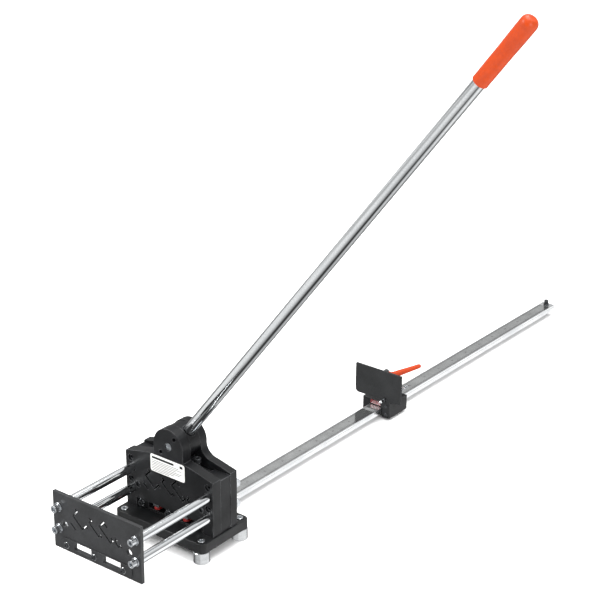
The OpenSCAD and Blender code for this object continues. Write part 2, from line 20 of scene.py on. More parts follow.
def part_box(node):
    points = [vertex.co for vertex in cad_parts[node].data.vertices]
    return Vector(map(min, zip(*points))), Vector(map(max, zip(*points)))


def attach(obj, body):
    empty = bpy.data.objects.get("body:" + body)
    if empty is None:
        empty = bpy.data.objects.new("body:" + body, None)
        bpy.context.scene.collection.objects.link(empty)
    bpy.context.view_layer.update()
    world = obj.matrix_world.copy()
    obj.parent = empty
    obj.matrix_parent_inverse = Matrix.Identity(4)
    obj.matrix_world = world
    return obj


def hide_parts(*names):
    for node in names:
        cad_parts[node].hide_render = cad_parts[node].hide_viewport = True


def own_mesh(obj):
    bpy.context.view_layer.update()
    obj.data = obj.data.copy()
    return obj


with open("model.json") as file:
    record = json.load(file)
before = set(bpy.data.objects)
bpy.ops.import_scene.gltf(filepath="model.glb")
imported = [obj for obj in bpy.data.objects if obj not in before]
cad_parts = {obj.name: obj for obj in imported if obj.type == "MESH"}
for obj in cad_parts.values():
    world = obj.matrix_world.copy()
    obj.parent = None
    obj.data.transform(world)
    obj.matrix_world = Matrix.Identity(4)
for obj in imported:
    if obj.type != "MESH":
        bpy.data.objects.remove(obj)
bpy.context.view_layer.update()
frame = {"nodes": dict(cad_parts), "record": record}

log = logging.getLogger("rail_cutter")
MM = 0.001
UP = Vector((0, 0, 1))


# ---------------------------------------------------------------- node helpers


def add(tree: bpy.types.NodeTree, kind: str, links: Optional[dict[Any, Any]] = None,
        **settings: Any) -> bpy.types.Node:
    """Adds one node.

    Args:
        tree: the tree that the node joins.
        kind: the node's type name.
        links: input name or number, with the socket or the value that goes there.
        settings: the node's own properties.

    Returns:
        The new node.
    """
    node = tree.nodes.new(kind)
    for name, value in settings.items():
        setattr(node, name, value)
    for key, value in (links or {}).items():
        if isinstance(value, bpy.types.NodeSocket):
            tree.links.new(value, node.inputs[key])
        else:
            node.inputs[key].default_value = value
    return node


def linear(code: str, alpha: float = 1.0) -> tuple[float, float, float, float]:
    """Turns an sRGB hex colour into linear light.

    Args:
        code: six hex digits, with or without a leading hash.
        alpha: the fourth value.

    Returns:
        Linear red, green and blue, and alpha.
    """
    digits = code.lstrip("#")
    parts = [int(digits[i:i + 2], 16) / 255 for i in (0, 2, 4)]
    red, green, blue = (p / 12.92 if p <= 0.04045 else ((p + 0.055) / 1.055) ** 2.4 for p in parts)
    return red, green, blue, alpha


# ---------------------------------------------------------------- finishes


class Grain(Enum):
    """How a surface was made, which sets the pattern that it carries."""

    EVEN = "even"
    ALONG_Y = "ground or drawn along Y"
    ALONG_X = "ground along X"
    RINGS_Z = "turned about Z"
    RINGS_Y = "turned about Y"


# How much coarser a directed grain is along each axis than across it
STRETCH = {
    Grain.EVEN: (1, 1, 1),
    Grain.ALONG_Y: (1, 0.012, 1),
    Grain.ALONG_X: (0.012, 1, 1),
    Grain.RINGS_Z: (0.004, 0.004, 1),
    Grain.RINGS_Y: (0.004, 1, 0.004),
}


@dataclass(frozen=True)
class Finish:
    """A surface finish as a maker would name it.

    Its patterns are laid out in millimetres on the object's own coordinates.
    """

    name: str
    light: str
    dark: str
    metallic: float
    roughness: float
    spread: float
    grain: Grain = Grain.EVEN
    grain_mm: float = 0.8
    bump_mm: float = 0.02
    cloud_mm: float = 45.0
    # lighter colour of the broken edges: partly wear, partly a painted highlight
    wear: Optional[str] = None
    wear_mm: float = 0.7
    coat: float = 0.0
    ior: float = 1.5
    scratches: float = 0.0

    def material(self) -> bpy.types.Material:
        """Builds the material once and returns it each time after.

        Returns:
            The material.
        """
        known = bpy.data.materials.get(self.name)
        if known:
            return known
        made = bpy.data.materials.new(self.name)
        made.use_nodes = True
        tree = made.node_tree
        tree.nodes.clear()
        place = add(tree, "ShaderNodeTexCoord").outputs["Object"]
        clouds = self._noise(tree, place, self.cloud_mm, 4)
        scale = [axis / (self.grain_mm * MM) for axis in STRETCH[self.grain]]
        laid = add(tree, "ShaderNodeMapping", {"Vector": place, "Scale": scale})
        grain = add(tree, "ShaderNodeTexNoise",
                    {"Vector": laid.outputs["Vector"], "Scale": 1.0, "Detail": 3.0}).outputs["Fac"]
        tone = self._blend(tree, clouds, grain)
        colour = add(tree, "ShaderNodeMix", {0: tone, 6: linear(self.dark), 7: linear(self.light)},
                     data_type="RGBA").outputs[2]
        rough = add(tree, "ShaderNodeMapRange",
                    {"Value": tone, "From Min": 0.3, "From Max": 0.7,
                     "To Min": self.roughness + self.spread,
                     "To Max": max(0.02, self.roughness - self.spread)}).outputs["Result"]
        # lighter edge colour: partly wear, partly a painted highlight along the broken edges
        if self.wear:
            edge = self._edges(tree, clouds)
            colour = add(tree, "ShaderNodeMix", {0: edge, 6: colour, 7: linear(self.wear)},
                         data_type="RGBA").outputs[2]
            rough = add(tree, "ShaderNodeMix", {0: edge, 2: rough, 3: self.roughness * 0.8}).outputs[0]
        height = grain
        if self.scratches:
            height = self._scratched(tree, place, grain)
        bump = add(tree, "ShaderNodeBump", {"Height": height, "Strength": 0.6,
                                            "Distance": self.bump_mm * MM})
        shader = add(tree, "ShaderNodeBsdfPrincipled",
                     {"Base Color": colour, "Roughness": rough, "Metallic": self.metallic,
                      "Normal": bump.outputs["Normal"], "Coat Weight": self.coat,
                      "Coat Roughness": 0.12})
        if not self.metallic:
            shader.inputs["IOR"].default_value = self.ior
        add(tree, "ShaderNodeOutputMaterial", {"Surface": shader.outputs["BSDF"]})
        made.diffuse_color = linear(self.light)
        return made

    def _noise(self, tree: bpy.types.NodeTree, place: bpy.types.NodeSocket, size_mm: float,
               detail: float) -> bpy.types.NodeSocket:
        """Lays soft noise.

        Args:
            tree: the material's tree.
            place: coordinates that the noise follows.
            size_mm: about how wide a blotch is.
            detail: how many finer layers it has.

        Returns:
            The noise, round 0.5.
        """
        return add(tree, "ShaderNodeTexNoise",
                   {"Vector": place, "Scale": 1 / (size_mm * MM), "Detail": detail,
                    "Roughness": 0.6}).outputs["Fac"]

    def _blend(self, tree: bpy.types.NodeTree, clouds: bpy.types.NodeSocket,
               grain: bpy.types.NodeSocket) -> bpy.types.NodeSocket:
        """Mixes broad blotches and fine grain into one tone.

        Args:
            tree: the material's tree.
            clouds: the blotches.
            grain: the grain.

        Returns:
            The tone, from 0 for dark to 1 for light.
        """
        both = add(tree, "ShaderNodeMix", {0: 0.45, 2: clouds, 3: grain}).outputs[0]
        return add(tree, "ShaderNodeMapRange",
                   {"Value": both, "From Min": 0.34, "From Max": 0.66}).outputs["Result"]

    def _edges(self, tree: bpy.types.NodeTree, clouds: bpy.types.NodeSocket) -> bpy.types.NodeSocket:
        """Finds edges for wear and for a painted edge highlight, by how far a rounded normal leans from
        the face.

        Args:
            tree: the material's tree.
            clouds: blotches that break the wear and the painted highlight up.

        Returns:
            How much wear and painted highlight each spot gets, from 0 to 0.9.
        """
        soft = add(tree, "ShaderNodeBevel", {"Radius": self.wear_mm * MM}, samples=4)
        true = add(tree, "ShaderNodeNewGeometry").outputs["Normal"]
        lean = add(tree, "ShaderNodeVectorMath", {0: soft.outputs["Normal"], 1: true},
                   operation="DOT_PRODUCT").outputs["Value"]
        edge = add(tree, "ShaderNodeMapRange", {"Value": lean, "From Min": 0.985, "From Max": 0.80,
                                                "To Max": 0.9}).outputs["Result"]
        patchy = add(tree, "ShaderNodeMapRange", {"Value": clouds, "From Min": 0.38, "From Max": 0.62,
                                                  "To Min": 0.25}).outputs["Result"]
        return add(tree, "ShaderNodeMath", {0: edge, 1: patchy}, operation="MULTIPLY").outputs["Value"]

    def _scratched(self, tree: bpy.types.NodeTree, place: bpy.types.NodeSocket,
                   grain: bpy.types.NodeSocket) -> bpy.types.NodeSocket:
        """Adds long handling scratches, drawn coarser than real ones so that they show.

        Args:
            tree: the material's tree.
            place: coordinates that the scratches follow.
            grain: height of the grain.

        Returns:
            The height with the scratches cut in.
        """
        turned = add(tree, "ShaderNodeMapping", {"Vector": place, "Rotation": (0.4, 0.9, 0.7),
                                                 "Scale": (1600, 26, 1600)})
        lines = add(tree, "ShaderNodeTexNoise", {"Vector": turned.outputs["Vector"], "Scale": 1.0,
                                                 "Detail": 1.0}).outputs["Fac"]
        thin = add(tree, "ShaderNodeMapRange", {"Value": lines, "From Min": 0.70, "From Max": 0.74,
                                                "To Max": -self.scratches}).outputs["Result"]
        return add(tree, "ShaderNodeMath", {0: grain, 1: thin}, operation="ADD").outputs["Value"]


# Oxide-blackened tool steel of the block: near black and satin, darker than the guide plate partly as
# painted shade on the block's front, with brighter broken edges that are partly wear and partly a painted
# highlight
BLACKENED = Finish("blackened_tool_steel", "#17181a", "#0c0d0e", 0.0, 0.38, 0.07, grain_mm=1.1,
                   bump_mm=0.015, wear="#9a9c9f", wear_mm=1.1, ior=1.3, scratches=0.5)
# Blackened sheet of the guide plate: greyer than the block, as the block's darker tone partly paints the
# shade on its front behind this plate; its brighter broken edges are partly wear and partly a painted
# highlight
BLACK_SHEET = Finish("blackened_ground_sheet", "#2c2d2f", "#1d1e1f", 0.0, 0.40, 0.07,
                     grain_mm=1.4, bump_mm=0.012, wear="#808285", wear_mm=0.5, ior=1.45, scratches=0.6)
# Baked matt black of the stop plate: even and dull, so nothing mirrors in it; its lighter broken edges
# are partly wear and partly a painted highlight
MATT_BLACK = Finish("matt_black_plate", "#272829", "#1b1c1d", 0.0, 0.62, 0.05, grain_mm=1.1,
                    bump_mm=0.015, wear="#77797c", wear_mm=0.8, ior=1.3)
# Satin lacquer on the cast base: a little browner and duller than the plates; its lighter broken edges
# are partly wear and partly a painted highlight
LACQUERED = Finish("satin_black_lacquer", "#191a1b", "#0f1011", 0.0, 0.38, 0.07, grain_mm=1.6,
                   bump_mm=0.03, wear="#77797b", wear_mm=1.0, ior=1.35)
# Hard-chromed ground bar: mirror bright, with faint rings left by grinding
CHROMED = Finish("hard_chromed_bar", "#eceef0", "#cfd2d4", 1.0, 0.10, 0.04, Grain.RINGS_Y,
                 grain_mm=0.5, bump_mm=0.002, cloud_mm=90, scratches=0.2)
# Chromed lever tube: polished, so it shows crisp streaks, faint clouds and handling marks
POLISHED = Finish("polished_chrome_tube", "#eff1f2", "#d6d9db", 1.0, 0.08, 0.03, grain_mm=2.5,
                  bump_mm=0.002, cloud_mm=120, scratches=0.3)
# Bright zinc on screws and nuts: slightly blue and softer than chrome
ZINC = Finish("bright_zinc_plate", "#dfe2e5", "#a3a7ab", 1.0, 0.22, 0.07, grain_mm=0.6,
              bump_mm=0.008, cloud_mm=6)
# Blackened screws: dark oxide that has caught some oil, so it glints softly; their lighter rims are
# partly wear and partly a painted highlight
DARK_SCREW = Finish("oiled_black_oxide", "#47494c", "#1e1f20", 0.6, 0.34, 0.1, grain_mm=0.5,
                    bump_mm=0.01, cloud_mm=5, wear="#8b8d90", wear_mm=0.35)
# Turned aluminium of the feet: fine rings that streak the highlights
TURNED = Finish("turned_aluminium", "#d3d5d6", "#aeb0b2", 1.0, 0.20, 0.06, Grain.RINGS_Z,
                grain_mm=0.35, bump_mm=0.006, cloud_mm=25)
# Drawn and clear-anodised aluminium of the rail: pale, with lines along its length
DRAWN = Finish("drawn_anodised_aluminium", "#f2f3f4", "#d9dbdd", 1.0, 0.26, 0.07, Grain.ALONG_Y,
               grain_mm=0.45, bump_mm=0.006, cloud_mm=70)
# Etched scale band: flatter and greyer than the rail round it
ETCHED = Finish("etched_scale_band", "#d6d8d8", "#b3b5b5", 0.95, 0.13, 0.04, grain_mm=0.9,
                bump_mm=0.01, cloud_mm=30)
# Scale marks: black paint left in the etching, matt against the band
MARKS = Finish("scale_paint", "#2b2c2d", "#1b1c1d", 0.0, 0.6, 0.05, grain_mm=0.4, cloud_mm=10)
# Dipped soft vinyl of the lever's grip: waxy, orange, faintly rippled
DIPPED = Finish("dipped_orange_vinyl", "#ad3903", "#9c3101", 0.0, 0.36, 0.06, grain_mm=7.0,
                bump_mm=0.08, cloud_mm=35, ior=1.36)
# Moulded glass-filled nylon of the clamp lever: orange with a fine spark-eroded texture
MOULDED = Finish("moulded_orange_nylon", "#a93501", "#962d01", 0.0, 0.46, 0.06, grain_mm=0.5,
                 bump_mm=0.03, cloud_mm=20, ior=1.33)
# Moulded nylon of the cap: black and softly matt
BLACK_CAP = Finish("moulded_black_nylon", "#2a2b2c", "#191a1b", 0.0, 0.42, 0.06, grain_mm=0.5,
                   bump_mm=0.03, cloud_mm=8, ior=1.53)
# Clear acrylic window over the scale: dark red and glossy
RED_WINDOW = Finish("red_acrylic_window", "#6d181e", "#4c1115", 0.0, 0.18, 0.05, grain_mm=3.0,
                    bump_mm=0.01, cloud_mm=12, coat=0.3, ior=1.49)
# Cast polyurethane of the strippers: red, rubbery and slightly dusty
URETHANE = Finish("red_polyurethane", "#8a1512", "#6c0f0d", 0.0, 0.5, 0.08, grain_mm=1.0,
                  bump_mm=0.03, cloud_mm=6, ior=1.5)
# Polyester film of the label: plain white with a slight gloss
LABEL_FILM = Finish("white_polyester_film", "#f1f1ee", "#e6e6e2", 0.0, 0.36, 0.05, grain_mm=1.5,
                    bump_mm=0.006, cloud_mm=20, coat=0.1, ior=1.55)
# Black ink of the label's border: flat black
LABEL_INK = Finish("label_black_ink", "#1c1d1f", "#121314", 0.0, 0.45, 0.05, grain_mm=0.8,
                   bump_mm=0.004, cloud_mm=12)
# Screened ink of the label's fine bars: mid grey from arm's length
LABEL_GREY = Finish("label_grey_ink", "#4a4c4f", "#3b3d40", 0.0, 0.45, 0.05, grain_mm=0.8,
                    bump_mm=0.004, cloud_mm=12)
# Ground and hardened steel of blade, punches and dies: cool grey with fine lines
GROUND = Finish("ground_tool_steel", "#a5a8ab", "#7c7f82", 1.0, 0.30, 0.08, Grain.ALONG_X,
                grain_mm=0.4, bump_mm=0.008, cloud_mm=30)
# Sintered bearing bronze: warm brown, dulled by oil
BRONZE = Finish("bearing_bronze", "#c29a52", "#96703a", 1.0, 0.34, 0.08, grain_mm=0.5,
                bump_mm=0.01, cloud_mm=8)


# ---------------------------------------------------------------- turned and cut shapes


class Section(Enum):
    """Outline of one ring of a turned piece."""

    ROUND = "round"
    HEX = "hexagon"
    KNURL = "knurled"


@dataclass(frozen=True)
class Ring:
    """One ring of a turned piece: its height and its radius, or half its width across flats."""

    z: float
    r: float
    section: Section = Section.ROUND
    limit: float = math.inf

    def radius(self, step: int, steps: int) -> float:
        """Gives the ring's radius at one step round it.

        Args:
            step: which step.
            steps: how many steps make a turn.

        Returns:
            The radius in millimetres.
        """
        if self.section is Section.HEX:
            sixth = math.pi / 3
            lean = (step / steps * 2 * math.pi + sixth / 2) % sixth - sixth / 2
            return min(self.r / math.cos(lean), self.limit)
        if self.section is Section.KNURL:
            return self.r - (0.16 if step % 2 else 0.0)
        return self.r


def smooth(mesh: bpy.types.Mesh, angle: float = 32.0) -> bpy.types.Mesh:
    """Shades a mesh smooth but keeps its sharp edges.

    Args:
        mesh: the mesh.
        angle: the bend in degrees from which an edge stays sharp.

    Returns:
        The same mesh.
    """
    mesh.shade_smooth()
    mesh.set_sharp_from_angle(angle=math.radians(angle))
    return mesh


def finished(shape: bmesh.types.BMesh, name: str) -> bpy.types.Mesh:
    """Turns a shape under construction into a mesh and frees it.

    Args:
        shape: the shape.
        name: the mesh's name.

    Returns:
        The mesh.
    """
    mesh = bpy.data.meshes.new(name)
    shape.to_mesh(mesh)
    shape.free()
    return mesh


def turned(name: str, rings: Sequence[Ring], steps: int = 48, ring_shaped: bool = False,
           place: Matrix = Matrix.Identity(4)) -> bpy.types.Mesh:
    """Spins a profile into a closed mesh.

    Args:
        name: the mesh's name.
        rings: the profile, from one end to the other; a radius of 0 makes a point.
        steps: how many faces make a turn.
        ring_shaped: joins the last ring to the first, as a washer's profile needs.
        place: moves the finished shape, in millimetres.

    Returns:
        The mesh, in metres, with its faces outwards.
    """
    shape = bmesh.new()
    rows = []
    for ring in rings:
        if ring.r == 0:
            rows.append([shape.verts.new(place @ Vector((0, 0, ring.z)) * MM)])
            continue
        row = []
        for step in range(steps):
            angle, radius = 2 * math.pi * step / steps, ring.radius(step, steps)
            point = Vector((radius * math.cos(angle), radius * math.sin(angle), ring.z))
            row.append(shape.verts.new(place @ point * MM))
        rows.append(row)
    pairs = list(zip(rows, rows[1:] + rows[:1])) if ring_shaped else list(zip(rows, rows[1:]))
    for low, high in pairs:
        for step in range(steps):
            after = (step + 1) % steps
            corners = [low[step % len(low)], low[after % len(low)],
                       high[after % len(high)], high[step % len(high)]]
            shape.faces.new(list(dict.fromkeys(corners)))
    bmesh.ops.recalc_face_normals(shape, faces=shape.faces)
    return smooth(finished(shape, name))


@dataclass(frozen=True)
class CapScrew:
    """Sizes of one socket head cap screw: radii, the head's height, and half the key's width."""

    shank_r: float
    head_r: float
    head_h: float
    socket_r: float

    def rings(self, length: float) -> list[Ring]:
        """Draws the profile, with the underside of the head at height 0.

        Args:
            length: overall length, head included.

        Returns:
            Its rings, from the point of the shank to the bottom of the socket.
        """
        shank, head_r, head_h, socket_r = length - self.head_h, self.head_r, self.head_h, self.socket_r
        depth = head_h * 0.55
        return [Ring(-shank, 0), Ring(-shank, self.shank_r * 0.8), Ring(0.5 - shank, self.shank_r),
                Ring(0, self.shank_r), Ring(0, head_r - 0.25), Ring(0.25, head_r),
                Ring(0.5, head_r, Section.KNURL), Ring(head_h - 1.1, head_r, Section.KNURL),
                Ring(head_h - 0.8, head_r - 0.05), Ring(head_h - 0.35, head_r - 0.12),
                Ring(head_h, head_r - 0.6), Ring(head_h, socket_r + 0.5),
                Ring(head_h - 0.35, socket_r, Section.HEX), Ring(head_h - depth, socket_r, Section.HEX),
                Ring(head_h - depth - socket_r * 0.4, 0)]


def hex_nut(flats: float, height: float, bore_r: float) -> list[Ring]:
    """Draws a hexagon nut that stands on height 0, with both faces chamfered.

    Args:
        flats: width across flats.
        height: how thick the nut is.
        bore_r: radius of its bore.

    Returns:
        Its rings; the last joins the first.
    """
    half, corner, chamfer = flats / 2, flats / 2 * 1.02, flats * 0.05
    return [Ring(0, bore_r), Ring(0, half - 0.2), Ring(0.05, corner), Ring(chamfer, half, Section.HEX),
            Ring(height - chamfer, half, Section.HEX), Ring(height - 0.05, corner),
            Ring(height, half - 0.2), Ring(height, bore_r)]


def washer(outer_r: float, bore_r: float, height: float, edge: float = 0.25) -> list[Ring]:
    """Draws a washer that stands on height 0.

    Args:
        outer_r: its outer radius.
        bore_r: radius of its bore.
        height: how thick it is.
        edge: how far its outer edges are broken.

    Returns:
        Its rings; the last joins the first.
    """
    return [Ring(0, bore_r), Ring(0, outer_r - edge), Ring(edge, outer_r), Ring(height - edge, outer_r),
            Ring(height, outer_r - edge), Ring(height, bore_r)]


class Facing(Enum):
    """Which way a turned item's top points, as the turn that brings it there."""

    UP = (0.0, 0.0, 0.0)
    DOWN = (math.pi, 0.0, 0.0)
    FRONT = (math.pi / 2, 0.0, 0.0)
    BACK = (-math.pi / 2, 0.0, 0.0)

    @property
    def direction(self) -> Vector:
        """Unit vector that the item's top points along."""
        return Euler(self.value).to_matrix() @ UP


@dataclass
class Solid:
    """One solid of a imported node: its lowest and highest corner, in millimetres."""

    low: Vector
    high: Vector

    @property
    def centre(self) -> Vector:
        """Middle of the solid's box."""
        return (self.low + self.high) / 2

    @property
    def size(self) -> Vector:
        """Size of the solid's box."""
        return self.high - self.low

    def length(self, facing: Facing) -> float:
        """Length of the solid along one way."""
        return abs(self.size.dot(facing.direction))

    def top(self, facing: Facing, inset: float) -> Vector:
        """Middle of the end that faces one way, moved inwards."""
        return self.centre + facing.direction * (self.length(facing) / 2 - inset)

    def foot(self, facing: Facing) -> Vector:
        """Middle of the end that faces the other way."""
        return self.centre - facing.direction * (self.length(facing) / 2)


def merged_copy(node: str) -> bmesh.types.BMesh:
    """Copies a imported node's mesh and joins its loose triangles.

    Args:
        node: the node's name.

    Returns:
        The joined copy, which the caller frees.
    """
    shape = bmesh.new()
    shape.from_mesh(frame["nodes"][node].data)
    bmesh.ops.remove_doubles(shape, verts=shape.verts, dist=0.002 * MM)
    return shape


def solids_of(node: str) -> list[Solid]:
    """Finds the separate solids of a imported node.

    Args:
        node: the node's name.

    Returns:
        Its solids, from left to right, then from low to high, then from front to back.
    """
    shape = merged_copy(node)
    seen: set[bmesh.types.BMVert] = set()
    found = []
    for start in shape.verts:
        if start in seen:
            continue
        group, todo = [], [start]
        seen.add(start)
        while todo:
            vert = todo.pop()
            group.append(vert.co / MM)
            for edge in vert.link_edges:
                other = edge.other_vert(vert)
                if other not in seen:
                    seen.add(other)
                    todo.append(other)
        low = Vector(min(p[i] for p in group) for i in range(3))
        high = Vector(max(p[i] for p in group) for i in range(3))
        found.append(Solid(low, high))
    shape.free()
    return sorted(found, key=lambda s: tuple(round(v) for v in (s.centre.x, s.centre.z, s.centre.y)))


# ---------------------------------------------------------------- geometry node trees


class Trees:
    """The Geometry Nodes trees that place what repeats and follow what winds."""

    @staticmethod
    def new(name: str, inputs: dict[str, tuple[str, Any]]) -> tuple[bpy.types.NodeTree, dict[str, Any]]:
        """Starts a tree with named inputs.

        Args:
            name: the tree's name.
            inputs: input name, with its socket type and default value.

        Returns:
            The tree and its input sockets by name.
        """
        tree = bpy.data.node_groups.new(name, "GeometryNodeTree")
        tree.interface.new_socket("Geometry", in_out="OUTPUT", socket_type="NodeSocketGeometry")
        tree.interface.new_socket("Geometry", in_out="INPUT", socket_type="NodeSocketGeometry")
        for label, (kind, value) in inputs.items():
            socket = tree.interface.new_socket(label, in_out="INPUT", socket_type=kind)
            if value is not None:
                socket.default_value = value
        start = tree.nodes.new("NodeGroupInput")
        return tree, {s.name: s for s in start.outputs if s.name}

    @staticmethod
    def end(tree: bpy.types.NodeTree, geometry: bpy.types.NodeSocket,
            finish: bpy.types.NodeSocket) -> bpy.types.NodeTree:
        """Ends a tree in Realize Instances and Set Material.

        Args:
            tree: the tree.
            geometry: what it has made.
            finish: socket that holds the material.

        Returns:
            The finished tree.
        """
        real = add(tree, "GeometryNodeRealizeInstances", {"Geometry": geometry})
        dressed = add(tree, "GeometryNodeSetMaterial", {"Geometry": real.outputs["Geometry"],
                                                        "Material": finish})
        out = tree.nodes.new("NodeGroupOutput")
        tree.links.new(dressed.outputs["Geometry"], out.inputs["Geometry"])
        return tree

    @classmethod
    def placer(cls) -> bpy.types.NodeTree:
        """Puts one item on every point of a mesh, each spun a little differently.

        Returns:
            The tree.
        """
        tree, given = cls.new("place_items", {
            "Item": ("NodeSocketObject", None), "Turn": ("NodeSocketVector", (0.0, 0.0, 0.0)),
            "Spin": ("NodeSocketFloat", 0.0), "Seed": ("NodeSocketInt", 1),
            "Finish": ("NodeSocketMaterial", None)})
        item = add(tree, "GeometryNodeObjectInfo", {"Object": given["Item"], "As Instance": True})
        turn = add(tree, "FunctionNodeEulerToRotation", {"Euler": given["Turn"]})
        placed = add(tree, "GeometryNodeInstanceOnPoints",
                     {"Points": given["Geometry"], "Instance": item.outputs["Geometry"],
                      "Rotation": turn.outputs["Rotation"]})
        chance = add(tree, "FunctionNodeRandomValue", {"Seed": given["Seed"], 3: given["Spin"]})
        spun = add(tree, "ShaderNodeCombineXYZ", {"Z": chance.outputs[1]})
        angle = add(tree, "FunctionNodeEulerToRotation", {"Euler": spun.outputs["Vector"]})
        turned_items = add(tree, "GeometryNodeRotateInstances",
                           {"Instances": placed.outputs["Instances"],
                            "Rotation": angle.outputs["Rotation"], "Local Space": True})
        return cls.end(tree, turned_items.outputs["Instances"], given["Finish"])

    @classmethod
    def helix(cls) -> bpy.types.NodeTree:
        """Winds round wire into a helix: a spring, or the crest of a thread.

        Returns:
            The tree.
        """
        tree, given = cls.new("wind_helix", {
            "Turns": ("NodeSocketFloat", 8.0), "Radius": ("NodeSocketFloat", 0.003),
            "Height": ("NodeSocketFloat", 0.02), "Wire Radius": ("NodeSocketFloat", 0.0005),
            "Steps": ("NodeSocketInt", 24), "Wire Steps": ("NodeSocketInt", 8),
            "Finish": ("NodeSocketMaterial", None)})
        line = add(tree, "GeometryNodeCurveSpiral",
                   {"Resolution": given["Steps"], "Rotations": given["Turns"],
                    "Start Radius": given["Radius"], "End Radius": given["Radius"],
                    "Height": given["Height"]})
        wire = add(tree, "GeometryNodeCurvePrimitiveCircle",
                   {"Resolution": given["Wire Steps"], "Radius": given["Wire Radius"]})
        solid = add(tree, "GeometryNodeCurveToMesh",
                    {"Curve": line.outputs["Curve"], "Profile Curve": wire.outputs["Curve"],
                     "Fill Caps": True})
        round_wire = add(tree, "GeometryNodeSetShadeSmooth", {"Geometry": solid.outputs["Mesh"]})
        return cls.end(tree, round_wire.outputs["Geometry"], given["Finish"])

    @classmethod
    def ruler(cls) -> bpy.types.NodeTree:
        """Lays a row of scale marks along Y: short ones, with longer ones at every 5 and 10.

        Returns:
            The tree.
        """
        tree, given = cls.new("lay_ruler", {
            "Marks": ("NodeSocketInt", 100), "Step": ("NodeSocketFloat", 0.001),
            "Start": ("NodeSocketVector", (0.0, 0.0, 0.0)), "Width": ("NodeSocketFloat", 0.0002),
            "Thickness": ("NodeSocketFloat", 0.00004), "Short": ("NodeSocketFloat", 0.004),
            "Medium": ("NodeSocketFloat", 0.006), "Long": ("NodeSocketFloat", 0.009),
            "Finish": ("NodeSocketMaterial", None)})
        along = add(tree, "ShaderNodeCombineXYZ", {"Y": given["Step"]})
        line = add(tree, "GeometryNodeMeshLine",
                   {"Count": given["Marks"], "Start Location": given["Start"],
                    "Offset": along.outputs["Vector"]})
        index = add(tree, "GeometryNodeInputIndex").outputs["Index"]
        length = given["Short"]
        for every, socket in ((5, given["Medium"]), (10, given["Long"])):
            rest = add(tree, "ShaderNodeMath", {0: index, 1: float(every)}, operation="FLOORED_MODULO")
            hit = add(tree, "ShaderNodeMath", {0: rest.outputs["Value"], 1: 0.5}, operation="LESS_THAN")
            length = add(tree, "ShaderNodeMix", {0: hit.outputs["Value"], 2: length,
                                                 3: socket}).outputs[0]
        size = add(tree, "ShaderNodeCombineXYZ", {"X": 1.0, "Y": given["Width"], "Z": given["Thickness"]})
        bar = add(tree, "GeometryNodeMeshCube", {"Size": size.outputs["Vector"]})
        from_edge = add(tree, "GeometryNodeTransform",
                        {"Geometry": bar.outputs["Mesh"], "Translation": (0.5, 0.0, 0.0)})
        stretch = add(tree, "ShaderNodeCombineXYZ", {"X": length, "Y": 1.0, "Z": 1.0})
        placed = add(tree, "GeometryNodeInstanceOnPoints",
                     {"Points": line.outputs["Mesh"], "Instance": from_edge.outputs["Geometry"],
                      "Scale": stretch.outputs["Vector"]})
        return cls.end(tree, placed.outputs["Instances"], given["Finish"])


# ---------------------------------------------------------------- workbench


